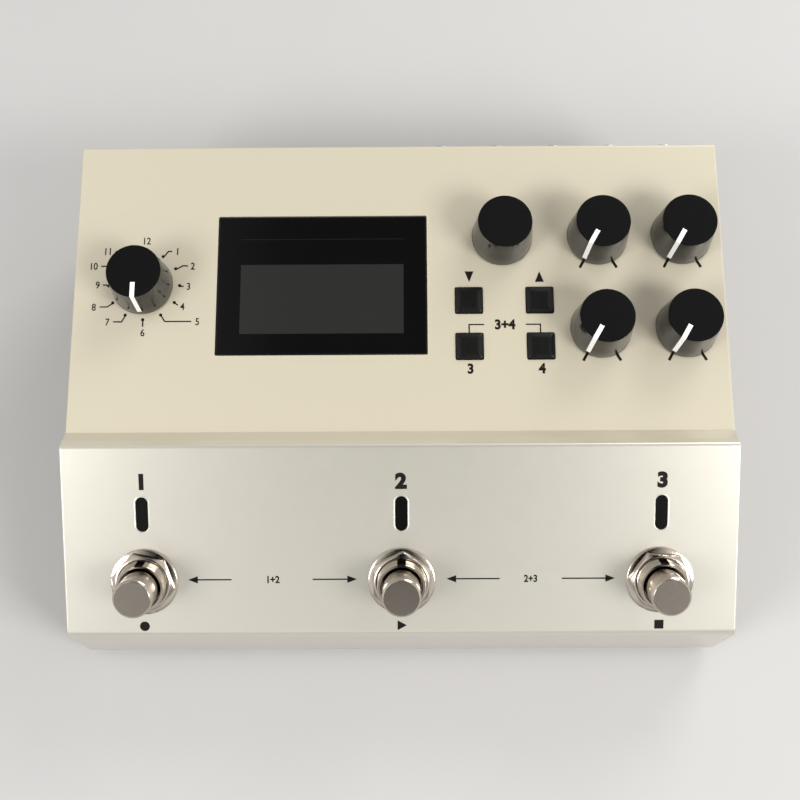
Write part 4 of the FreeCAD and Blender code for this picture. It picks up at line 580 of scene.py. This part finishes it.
class PEDAL_OT_knobs(bpy.types.Operator):
    """Turn the six moulded knobs with their painted pointer lines."""
    bl_idname = "pedal.knobs"
    bl_label = "Knobs"

    def flank(self, size, height):
        """The tapered side's radius at a height above the panel, and that height."""
        share = (height - size.knob_lift) / (size.knob_height - size.knob_lift)
        return size.knob_base + (size.knob_top - size.knob_base) * share, height

    def side(self, size):
        """A knob's profile from the bore's roof, round the rim and up to the middle of its top."""
        top, lift, hollow = size.knob_height, size.knob_lift, size.knob_hollow
        rim, shoulder = (size.knob_base, lift), (size.knob_top, top)
        return [(0.0, size.knob_bore_top), (size.knob_bore, size.knob_bore_top),
                (size.knob_bore, size.knob_hollow_top), (hollow, size.knob_hollow_top), (hollow, lift),
                *rounded((hollow, lift), rim, shoulder, 0.15 * MM, 3),
                self.flank(size, lift + 4 * MM), self.flank(size, lift + 8 * MM),
                *rounded(rim, shoulder, (0.0, top), size.knob_edge, 6), (size.knob_top * 0.6, top), (0.0, top)]

    def pointer(self, size, angle):
        """The painted line: a thin rectangle carried along the top, over the edge and down the side.

        Across the line a point keeps its distance u from the line's middle, so y = -sqrt(r^2 - u^2).
        """
        edge = rounded((0.0, size.knob_height), (size.knob_top, size.knob_height),
                       (size.knob_base, size.knob_lift), size.knob_edge, 5)
        path = np.array([(size.pointer_start, size.knob_height), *edge, self.flank(size, size.pointer_foot)])
        along = np.gradient(path, axis=0)
        outward = np.stack((-along[:, 1], along[:, 0]), 1) / np.linalg.norm(along, axis=1)[:, None]
        across = np.linspace(-0.5, 0.5, 7) * size.pointer_width
        paint = np.repeat((0.03 * MM, -0.12 * MM), 7)
        radius, height = [path[:, axis, None] + outward[:, axis, None] * paint for axis in (0, 1)]
        u = np.broadcast_to(np.concatenate((across, across[::-1])), radius.shape)
        back = -np.sqrt(radius ** 2 - u ** 2)
        sine, cosine = np.sin(angle), np.cos(angle)
        return np.stack((cosine * u + sine * back, -sine * u + cosine * back, height), 2)

    def execute(self, context):
        size, paint = sizes(), colours()
        # Moulded ABS: the top is etched matt, the side is polished and mirrors the panel at a low angle. The
        # top's black is darkened to three tenths of the side's as painted shade.
        matt_shaded_top = finish("etched_black_abs_painted_shade", shade(paint.knob, 0.3), 0.7, mottle=(1.5, 0.10), rough=(0.6, 0.06),
                      bump=(0.14, 0.006), specular=0.08)
        gloss = finish("polished_black_abs", paint.knob, 0.17, mottle=(2.5, 0.10), rough=(2.0, 0.05),
                       bump=(1.6, 0.002))
        # Pad-printed white: thin, dense and slightly chalky.
        line = finish("pad_printed_white", paint.pointer, 0.55, mottle=(0.6, 0.03), rough=(0.5, 0.06),
                      bump=(0.12, 0.003))
        roof = size.knob_height - size.knob_edge * 0.5
        for name, angle in {**dict.fromkeys(POTS, 30), "mode": 0, "value": None}.items():
            plane = Plane(PLACES[f"{name}_turn"], AXES[f"{name}_turn"])

            def is_side(centres):
                return plane.local(centres)[:, 2] < roof

            # Faces below the roof take the polished side; the top takes the darkened black, a painted shade.
            knob = Piece(f"{name}_knob_formed").lay(plane, turned(self.side(size)), slot=is_side)
            if angle is not None:
                knob.lay(plane, self.pointer(size, math.radians(angle)), slot=2)
            knob.finish(f"{name}_control", [matt_shaded_top, gloss, line], "knob", [f"{name}_knob"])
        return {"FINISHED"}


class PEDAL_OT_buttons(bpy.types.Operator):
    """Form the four square caps with their flanges and stems."""
    bl_idname = "pedal.buttons"
    bl_label = "Square buttons"

    def execute(self, context):
        size, plane = sizes(), upper_plane()
        half, stem, flange = size.button_size / 2, size.button_stem / 2, size.button_flange / 2
        bevel, top, wall = size.button_bevel, size.button_rise, -size.case_wall
        under = wall - size.button_flange_height
        rows = [(stem, 0.2, -size.button_stem_bottom), (stem, 0.2, under), (flange, 0.3, under),
                (flange, 0.3, wall), (half, 0.45, wall), (half, 0.45, top - bevel * 1.1),
                (half - bevel * 0.16, 0.45, top - bevel * 0.5), (half - bevel * 0.55, 0.40, top - bevel * 0.14),
                (half - bevel * 0.9, 0.35, top - bevel * 0.08), (half - bevel, 0.35, top),
                (half * 0.5, 0.3, top)]
        rings = stack([square(reach, corner * MM, 64) for reach, corner, _ in rows], [row[2] for row in rows])
        # Moulded ABS with a soft coat: nearly black, satin, so only its bevels catch a line of light.
        cap = finish("satin_black_cap", colours().cap, 0.33, mottle=(1.0, 0.08), rough=(0.7, 0.05),
                     bump=(0.18, 0.003), specular=0.22)
        for name in ("down", "up", "exit", "edit"):
            x, y, _ = plane.local(middle_of(f"{name}_button"))
            Piece(f"{name}_cap_formed").lay(plane, rings, x, y).finish(
                f"{name}_key", [cap], "cap", [f"{name}_button"], crease=40.0)
        return {"FINISHED"}


class PEDAL_OT_footswitches(bpy.types.Operator):
    """Form the three footswitches: can, threaded bush, plunger, return spring, washer and nut."""
    bl_idname = "pedal.footswitches"
    bl_label = "Footswitches"

    def body(self, size):
        """Rings of the can and bush, from the middle of its floor up the outside and down the bore.

        On the threaded stretch the radius falls by the thread's depth times a triangle wave of height over
        pitch minus angle over a full turn, and points inside the key slot are set back to its floor.
        """
        can, bush, mouth, bore = size.can_width / 2, size.bush_radius, size.bush_mouth, size.bush_bore
        wall, top, count = -size.case_wall, size.bush_top, 192
        floor, roof = wall - size.can_height, wall - size.can_wall
        thread_start = size.washer_height + size.nut_height - 0.2 * MM
        ring = circle(1.0, count)
        angle = np.arctan2(ring[:, 1], ring[:, 0]) / (2 * np.pi)
        rows = [(ring * can * 0.2, floor), (square(can, 0.8 * MM, count), floor),
                (square(can, 0.8 * MM, count), wall), (ring * bush, wall), (ring * bush, thread_start)]
        for height in np.linspace(thread_start + 0.1 * MM, top - 0.35 * MM, 28):
            wave = np.abs((height / size.thread_pitch - angle) % 1.0 * 2 - 1)
            rows.append((ring * (bush - size.thread_depth * wave)[:, None], height))
        hollow = size.collar_radius + bore - size.plunger_radius
        inside = floor + size.can_wall
        rows += [(ring * radius, height) for radius, height in (
            (bush - 0.2 * MM, top - 0.1 * MM), (bush - 0.32 * MM, top), (mouth, top),
            (mouth - 0.06 * MM, top - 0.06 * MM), (bore, top - 0.2 * MM), (bore, roof), (hollow, roof),
            (hollow, inside), (0.3 * MM, inside))]
        rings = stack(*zip(*rows))
        slot = (np.abs(rings[..., 0]) < size.key_width / 2) & (rings[..., 2] > thread_start)
        slot &= rings[..., 1] > bush - size.key_depth
        rings[..., 1] = np.where(slot, bush - size.key_depth, rings[..., 1])
        return rings

    def plunger(self, size):
        """The plunger's profile: stem, collar, polished side, bevel and flat top."""
        radius, edge, end = size.plunger_radius, size.plunger_edge, size.plunger_top
        collar = -size.case_wall - size.can_wall
        low = -size.case_wall - size.can_height + size.can_wall + size.plunger_travel + 0.2 * MM
        return [(0.0, low), (size.stem_radius, low), (size.stem_radius, collar - size.collar_height),
                (size.collar_radius, collar - size.collar_height), (size.collar_radius, collar),
                (radius, collar), (radius, end - edge - 0.08 * MM), (radius - 0.06 * MM, end - edge),
                (radius - edge, end - 0.06 * MM), (radius - edge - 0.1 * MM, end), (0.0, end)]

    def spring(self, size, foot, top):
        """A coil of wire: rings stand across a helix, radius (cos a, sin a), that rises evenly turn by turn."""
        angle = np.linspace(0, 2 * np.pi * size.spring_turns, 72 * size.spring_turns + 1)[:, None]
        round_wire = circle(size.spring_wire, 12)
        out = size.spring_radius + round_wire[:, 0]
        rise = foot + size.spring_wire + (top - foot - 2 * size.spring_wire) * angle / angle[-1]
        return np.stack([out * np.cos(angle), out * np.sin(angle), rise + round_wire[:, 1]], axis=-1)

    def nut(self, size, turn):
        """A hexagon nut: the top's corners are cut by a cone of 30 degrees, and the bore is chamfered."""
        flats, bush, low = size.nut_flats, size.bush_radius, size.washer_height
        high = low + size.nut_height
        rows = [(hexagon(flats, turn), low)]
        for height in np.linspace(high - 1.0 * MM, high, 11):
            cone = flats / 2 * 0.965 + (high - height) * math.tan(math.radians(60))
            rows.append((hexagon(flats, turn, cone), height))
        rows += [(circle(bush + 0.3 * MM), high), (circle(bush), high - 0.25 * MM), (circle(bush), low)]
        return stack(*zip(*rows))

    def washer(self, size):
        """A flat washer with rolled edges."""
        radius, top, hole = size.washer_radius, size.washer_height, size.bush_radius
        return turned([(radius - 0.1 * MM, 0.0), (radius, 0.1 * MM), (radius, top - 0.25 * MM),
                       (radius - 0.08 * MM, top - 0.08 * MM), (radius - 0.25 * MM, top), (hole, top),
                       (hole, 0.0)])

    def execute(self, context):
        size, plane, metal = sizes(), lower_plane(), nickel()
        washers, nuts = Piece("footswitch_washers_formed"), Piece("footswitch_nuts_formed")
        # Nickel over a bead-blasted face for the plunger's flat top: a soft even sheen with no clear
        # reflection, its colour darkened to six tenths of the nickel as painted shade.
        satin = finish("bead_blasted_nickel_painted_shade", shade(colours().nickel, 0.60), 0.2, metallic=1.0, mottle=(1.2, 0.05),
                       rough=(0.4, 0.06), bump=(0.16, 0.004))
        # Painted shade in the key slot: its faces get a near-black brown instead of nickel, standing for the
        # shadow in the narrow slot.
        slot_shade = finish("key_slot_painted_shade", linear("#1E150F"), 0.5, metallic=1.0, mottle=(0.5, 0.15),
                        rough=(0.4, 0.08), bump=(0.2, 0.004))
        # Drawn spring wire: bright grey with fine drawing marks.
        wire = finish("drawn_spring_wire", linear("#8D8F92"), 0.28, metallic=1.0, mottle=(0.5, 0.08),
                      rough=(0.3, 0.06), bump=(0.15, 0.003))
        foot = -size.case_wall - size.can_height + size.can_wall
        top = -size.case_wall - size.can_wall - size.collar_height
        for name, turn in STOMPS.items():
            x, y = middle_of(f"plunger_{name}")[0], -size.stomp_down

            def is_flat(centres):
                return [(centre - plane.origin) @ plane.normal > size.plunger_top - 0.03 * MM
                        for centre in centres]

            # The key slot's faces, which get the painted slot shade instead of nickel.
            def in_slot(centres):
                local = np.array(centres) - plane.spot(x, y)
                up, rise = local @ plane.slope, local @ plane.normal
                return ((np.abs(local[:, 0]) < size.key_width / 2 + 0.1 * MM) & (rise > size.washer_height)
                        & (up > size.bush_radius - size.key_depth - 0.02 * MM)
                        & (up < size.bush_radius - 0.02 * MM) & (rise < size.bush_top - 0.05 * MM))

            Piece(f"footswitch_{name}_formed").lay(plane, self.body(size), x, y, in_slot).finish(
                "case", [metal, slot_shade], "nickel", [f"footswitch_{name}"])
            # The plunger's flat top takes the darkened nickel, a painted shade.
            Piece(f"plunger_{name}_formed").lay(plane, turned(self.plunger(size)), x, y, is_flat).finish(
                f"{name}_stomp", [metal, satin], "nickel", [f"plunger_{name}"], crease=20.0)
            coil = Piece(f"spring_{name}_formed").lay(plane, self.spring(size, foot, top), x, y).finish(
                "case", [wire], "spring_steel", ["footswitch_springs"])
            tuple(plane.spot(x, y, foot))
            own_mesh(coil)
            washers.lay(plane, self.washer(size), x, y, closed=True)
            nuts.lay(plane, self.nut(size, math.radians(turn)), x, y, closed=True)
        washers.finish("case", [metal], "nickel", ["footswitch_washers"])
        nuts.finish("case", [metal], "nickel", ["footswitch_nuts"])
        return {"FINISHED"}


class PEDAL_OT_lights(bpy.types.Operator):
    """Finish the three smoked light pipes."""
    bl_idname = "pedal.lights"
    bl_label = "Lights"

    def execute(self, context):
        # Smoked polycarbonate: near black while unlit, a soft gloss with a moulded haze.
        cover(finish("smoked_polycarbonate", colours().lens, 0.22, mottle=(1.2, 0.15), rough=(0.9, 0.05),
                     bump=(0.5, 0.003), specular=0.14), "light_lenses")
        return {"FINISHED"}


class PEDAL_OT_rear(bpy.types.Operator):
    """Finish the rear sockets, their nuts and the power button."""
    bl_idname = "pedal.rear"
    bl_label = "Rear sockets"

    def execute(self, context):
        # The plated bush starts inside the wall, 2.5 mm in front of the nuts.
        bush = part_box("jack_nuts")[0][1] / MM - 2.5

        def body_area(tree, parts):
            """The body inside the case is black resin; only the bush behind the wall is plated."""
            inside = (parts["Y"], (bush + 0.02) * MM, (bush - 0.02) * MM)
            return tuple(colours().socket), product(tree, [inside])

        # Nickel plate on the sockets' turned bushes: bright rings against their black bodies.
        jack = finish("plated_bush_on_black_body", linear("#B9B8B4"), 0.25, metallic=(1.0, 0.0),
                      mottle=(1.0, 0.06), rough=(0.6, 0.06), bump=(0.3, 0.003), mask=body_area)
        cover(jack, "jack_input_a", "jack_input_b", "jack_output_a", "jack_output_b", "jack_control")
        cover(nickel(), "jack_nuts", "control_nuts", "usb_socket")
        # Moulded black polyester of sockets and switches: matte with a fine moulded grain.
        cover(finish("moulded_black_polyester", colours().socket, 0.48, mottle=(1.5, 0.12), rough=(0.8, 0.07),
                     bump=(0.22, 0.008)),
              "midi_in_socket", "midi_out_socket", "power_inlet", "power_switch", "mode_switch",
              "tact_switches")
        # Moulded ABS push cap: black and satin, with the mould's fine texture.
        cover(finish("moulded_black_abs", colours().cap, 0.40, mottle=(1.2, 0.10), rough=(0.8, 0.06),
                     bump=(0.25, 0.006)), "power_button")
        return {"FINISHED"}


class PEDAL_OT_inside(bpy.types.Operator):
    """Finish the boards, the battery bay and the control bodies inside the case."""
    bl_idname = "pedal.inside"
    bl_label = "Inside"

    def execute(self, context):
        # Glass-cloth board under green solder mask: a gloss coat over a weave of 0.5 mm threads.
        cover(finish("green_solder_mask", colours().board, 0.30, mottle=(0.5, 0.14), rough=(0.5, 0.06),
                     bump=(0.5, 0.006)), "panel_board", "light_board", "main_board", "jack_board")
        # Turned brass: warm yellow with fine lathe marks.
        cover(finish("turned_brass", linear("#C2A25A"), 0.26, metallic=1.0, mottle=(1.0, 0.06),
                     rough=(0.5, 0.06), bump=(0.2, 0.003)), "board_standoffs")
        # Stamped steel of pot and encoder cans: pale grey, half bright, with the press's soft ripples.
        cover(finish("stamped_steel_can", linear("#9C9E9F"), 0.30, metallic=1.0, mottle=(1.5, 0.08),
                     rough=(0.8, 0.08), bump=(0.5, 0.004)), "potentiometers", "value_encoder")
        # Drawn aluminium shafts: bright silver grey with fine drawing marks.
        cover(finish("drawn_aluminium", linear("#B9BABC"), 0.26, metallic=1.0, mottle=(0.8, 0.05),
                     rough=(0.5, 0.05), bump=(0.2, 0.003)),
              *[f"{name}_shaft" for name in (*POTS, "value", "mode")])
        # Moulded ABS tray with a spark-eroded texture: dark and dull, with a coarse even grain.
        cover(finish("textured_black_abs", linear("#202022"), 0.58, mottle=(0.8, 0.14), rough=(0.5, 0.08),
                     bump=(0.35, 0.02)), "battery_tray")
        # Nickel-plated spring steel: bright and slightly warm, with a faint cloudiness.
        cover(finish("plated_spring_steel", linear("#B7B4AC"), 0.24, metallic=1.0, mottle=(0.8, 0.06),
                     rough=(0.4, 0.05), bump=(0.3, 0.003)), "battery_contacts")
        # Shrink sleeve on the cells: a smooth blue-grey film whose sheen breaks over slight wrinkles.
        cover(finish("shrink_sleeve_on_cell", linear("#35424D"), 0.30, mottle=(3.0, 0.10), rough=(2.0, 0.05),
                     bump=(1.0, 0.004)), "battery_cells")
        return {"FINISHED"}


# The mode dial from 1 to 12, in millimetres from its knob's axis: each number's place, then the corners of
# its leader line.
DIAL = (((8.1, 9.35), (5.07, 7.75), (6.26, 9.39), (7.25, 9.39)),
        ((12.2, 5.3), (8.35, 4.35), (10.22, 5.41), (11.51, 5.34)),
        ((11.3, -0.25), (9.48, -0.21), (10.6, -0.21)),
        ((9.9, -5.7), (8.31, -4.6), (9.3, -5.35)),
        ((13.9, -9.8), (4.95, -7.93), (6.06, -9.72), (12.9, -9.72)),
        ((0.45, -12.7), (0.41, -9.11), (0.41, -11.1)),
        ((-8.2, -9.8), (-3.95, -7.84), (-5.1, -9.75), (-7.26, -9.75)),
        ((-11.9, -5.75), (-7.35, -4.63), (-9.02, -5.7), (-10.95, -5.7)),
        ((-11.2, 0.25), (-8.7, -0.2), (-9.5, 0.25), (-10.4, 0.25)),
        ((-12.0, 5.4), (-8.0, 4.6), (-9.6, 5.38), (-11.1, 5.38)),
        ((-8.4, 9.45), (-4.4, 8.0), (-6.0, 9.45), (-7.6, 9.45)),
        ((0.45, 12.3),))
DOTS_SHIFT = 0.35   # how far right of the knob's axis the ring of dots is centred
TICK_ANGLE, TICK_START, TICK_END, TICK_WIDTH = math.radians(29.5), 7.6, 9.75, 0.7


class PEDAL_OT_print(bpy.types.Operator):
    """Print the dial's numbers and leader lines, the ticks, arrows, triangles and bracket."""
    bl_idname = "pedal.print"
    bl_label = "Printed marks"

    def upper(self, size, marks):
        """The upper panel: the mode dial, the pots' ticks and the marks of the square buttons."""
        x, y, _ = marks.plane.local(PLACES["mode_turn"]) / MM
        reach = size.dial_radius / MM
        for hour, (place, *leader) in enumerate(DIAL, 1):
            angle = math.radians(30 * hour)
            marks.shape(circle(size.dot_radius / MM, 20)
                        + (DOTS_SHIFT + reach * math.sin(angle), reach * math.cos(angle)), x, y)
            if leader:
                marks.band(leader, x, y)
            align = "CENTER" if hour % 6 == 0 else "LEFT" if hour < 6 else "RIGHT"
            marks.figure(str(hour), size.figure_height, x + place[0], y + place[1], 0.012, align=align)
        for name in POTS:
            x, y, _ = marks.plane.local(PLACES[f"{name}_turn"]) / MM
            for side in (-1, 1):
                way = np.array((side * math.sin(TICK_ANGLE), -math.cos(TICK_ANGLE)))
                marks.band([way * TICK_START, way * TICK_END], x, y, TICK_WIDTH)
        marks.shape([(-1.15, 1.4), (0.0, -1.5), (1.15, 1.4)], 18.15, -36.9)
        marks.shape([(-1.15, -1.4), (1.15, -1.4), (0.0, 1.45)], 36.35, -37.05)
        marks.band([(17.95, -52.3), (17.95, -49.9), (21.8, -49.9)])
        marks.band([(32.5, -49.9), (36.25, -49.9), (36.25, -52.3)])
        for text, x, y in (("3+4", 27.15, -49.9), ("3", 18.15, -61.6), ("4", 36.4, -61.6)):
            marks.figure(text, size.middle_figure, x, y, 0.04, 0.95)

    def lower(self, size, marks):
        """The lower panel: the arrows, the lights' numbers and the marks under the footswitches."""
        for tail, head in ((-42.4, -53.3), (-22.0, -10.9), (24.9, 11.6), (40.5, 53.8)):
            marks.arrow(tail, head, -34.2)
        for text, x in (("1", -64.2), ("2", 0.3), ("3", 65.1)):
            marks.figure(text, size.large_figure, x, -9.0, 0.06, 1.05)
        for text, x in (("1+2", -32.05), ("2+3", 32.7)):
            marks.figure(text, size.figure_height, x, -34.2, 0.03)
        marks.shape(circle(1.25, 48), -64.65, -46.3)
        marks.shape([(-1.1, -1.3), (1.2, 0.0), (-1.1, 1.3)], 0.35, -46.3)
        marks.shape([(-1.15, -1.15), (1.15, -1.15), (1.15, 1.15), (-1.15, 1.15)], 65.1, -46.3)

    def execute(self, context):
        # Screen-printed epoxy ink: dense and flat, with a slightly dry surface.
        ink = finish("screen_printed_ink", colours().ink, 0.5, mottle=(0.8, 0.08), rough=(0.5, 0.05),
                     bump=(0.2, 0.002), specular=0.12)
        for name, plane, draw in (("upper", upper_plane(), self.upper),
                                  ("lower", lower_plane(), self.lower)):
            marks = Marks(f"{name}_printed_marks", plane)
            draw(sizes(), marks)
            marks.finish("case", [ink], "case_paint")
        return {"FINISHED"}


# Each soft box's place and side in metres, and its power in watts.
LAMPS = {"window_light": ((0.60, -0.42, 0.68), 0.34, 5.9), "fill_light": ((-0.60, -0.42, 0.68), 0.34, 4.1),
         "rear_light": ((0.50, 0.70, 0.62), 0.50, 4.6)}
LAMP_TARGET = (0.0, 0.0, 0.03)
# The room's walls at either side, and what takes over from them in turn: a duller wall behind, one at the
# player's side, an unlit ceiling, and a dim strip low down at the player's side. Each has its brightness and,
# as parts of the direction looked in, where it starts and where it is full.
SIDE_WALLS = 1.10
ROOM = ((0.62, ("back", 0.10, 0.60)), (0.95, ("back", -0.35, -0.80)),
        (0.0, ("aside", 0.36, 0.10), ("back", 0.70, 0.35), ("up", 0.645, 0.765)),
        (0.42, ("back", -0.25, -0.65), ("up", 0.54, 0.31)))
FLOOR_HALF, FLOOR_LINES = 2.0, 41
# Where the photo was taken from, in metres and degrees, and its lens and sensor in millimetres.
CAMERA_PLACE, CAMERA_TURN = (0.002105, -0.104252, 0.337669), (17.668, 0.4443, -0.1739)
CAMERA_LENS, CAMERA_SENSOR = 54.31, 36.0


class PEDAL_OT_stage(bpy.types.Operator):
    """Lay the pale table top, hang the soft lights and set the camera."""
    bl_idname = "pedal.stage"
    bl_label = "Photo table"

    def floor(self, scene):
        """A flat grid of square cells: its points are every pair of evenly spaced x and y."""
        line, cells = np.linspace(-FLOOR_HALF, FLOOR_HALF, FLOOR_LINES), np.arange(FLOOR_LINES - 1)
        x, y = np.meshgrid(line, line)
        points = np.stack((x, y, np.zeros_like(x)), 2).reshape(-1, 3)
        corner = (cells[:, None] * FLOOR_LINES + cells).reshape(-1, 1)
        mesh = bpy.data.meshes.new("table_top")
        mesh.from_pydata(points.tolist(), [], (corner + (0, 1, FLOOR_LINES + 1, FLOOR_LINES)).tolist())
        top = bpy.data.objects.new("table_top", mesh)
        scene.collection.objects.link(top)
        # Painted board: pale grey, matt, with a faint cloudiness.
        mesh.materials.append(finish("painted_table_top", colours().floor, 0.62, mottle=(60.0, 0.02),
                                     rough=(20.0, 0.03), bump=(3.0, 0.02)))

    def lamp(self, scene, name, place, side, power):
        """A square soft box that looks at the pedal."""
        data = bpy.data.lights.new(name, "AREA")
        data.size, data.energy = side, power
        holder = bpy.data.objects.new(name, data)
        scene.collection.objects.link(holder)
        way = np.array(LAMP_TARGET) - np.array(place)
        flat = math.hypot(way[0], way[1])
        holder.location = place
        holder.rotation_euler = (math.atan2(flat, -way[2]), 0.0, math.atan2(way[1], way[0]) - math.pi / 2)

    def room(self, scene):
        """The room's soft light, by the direction looked in."""
        world = bpy.data.worlds.new("soft_room")
        world.use_nodes = True
        tree = world.node_tree
        tree.nodes.clear()
        parts = node(tree, "SeparateXYZ", {0: node(tree, "TexCoord").outputs["Generated"]}).outputs
        ways = {"aside": node(tree, "Math", {0: parts["X"]}, operation="ABSOLUTE"), "back": parts["Y"],
                "up": parts["Z"]}
        sky = (*[SIDE_WALLS] * 3, 1.0)
        for bright, *fades in ROOM:
            share = product(tree, [(ways[way], start, end) for way, start, end in fades])
            sky = node(tree, "Mix", {0: share, 6: sky, 7: (*[bright] * 3, 1.0)}, data_type="RGBA").outputs[2]
        node(tree, "OutputWorld", {"Surface": node(tree, "Background", {"Color": sky, "Strength": 1.0})})
        scene.world = world

    def execute(self, context):
        scene = context.scene
        self.floor(scene)
        for name, (place, side, power) in LAMPS.items():
            self.lamp(scene, name, place, side, power)
        self.room(scene)
        data = bpy.data.cameras.new("photo_camera")
        data.lens, data.sensor_width, data.clip_start = CAMERA_LENS, CAMERA_SENSOR, 0.01
        camera = bpy.data.objects.new("photo_camera", data)
        camera.location = CAMERA_PLACE
        camera.rotation_euler = [math.radians(angle) for angle in CAMERA_TURN]
        scene.collection.objects.link(camera)
        scene.camera = camera
        scene.view_settings.view_transform = "Standard"
        return {"FINISHED"}


OPERATORS = (PEDAL_OT_case, PEDAL_OT_display, PEDAL_OT_knobs, PEDAL_OT_buttons, PEDAL_OT_footswitches,
             PEDAL_OT_lights, PEDAL_OT_rear, PEDAL_OT_inside, PEDAL_OT_print, PEDAL_OT_stage)


class PEDAL_PT_panel(bpy.types.Panel):
    """Lists the pedal's pieces, sizes and colours."""
    bl_idname = "PEDAL_PT_panel"
    bl_label = "Delay Pedal"
    bl_space_type = "VIEW_3D"
    bl_region_type = "UI"
    bl_category = "Delay Pedal"

    def draw(self, context):
        for operator in OPERATORS:
            self.layout.operator(operator.bl_idname)
        for group in (context.scene.pedal_sizes, context.scene.pedal_colours):
            column = self.layout.box().column()
            for name in group.__annotations__:
                column.prop(group, name)


CLASSES = (PedalSizes, PedalColours, *OPERATORS, PEDAL_PT_panel)


def register():
    for one in CLASSES:
        bpy.utils.register_class(one)
    bpy.types.Scene.pedal_sizes = bpy.props.PointerProperty(type=PedalSizes)
    bpy.types.Scene.pedal_colours = bpy.props.PointerProperty(type=PedalColours)


def unregister():
    del bpy.types.Scene.pedal_colours
    del bpy.types.Scene.pedal_sizes
    for one in reversed(CLASSES):
        bpy.utils.unregister_class(one)


def main():
    """Registers the add-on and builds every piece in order."""
    register()
    for operator in OPERATORS:
        group, name = operator.bl_idname.split(".")
        getattr(getattr(bpy.ops, group), name)()


if __name__ == "__main__":
    main()
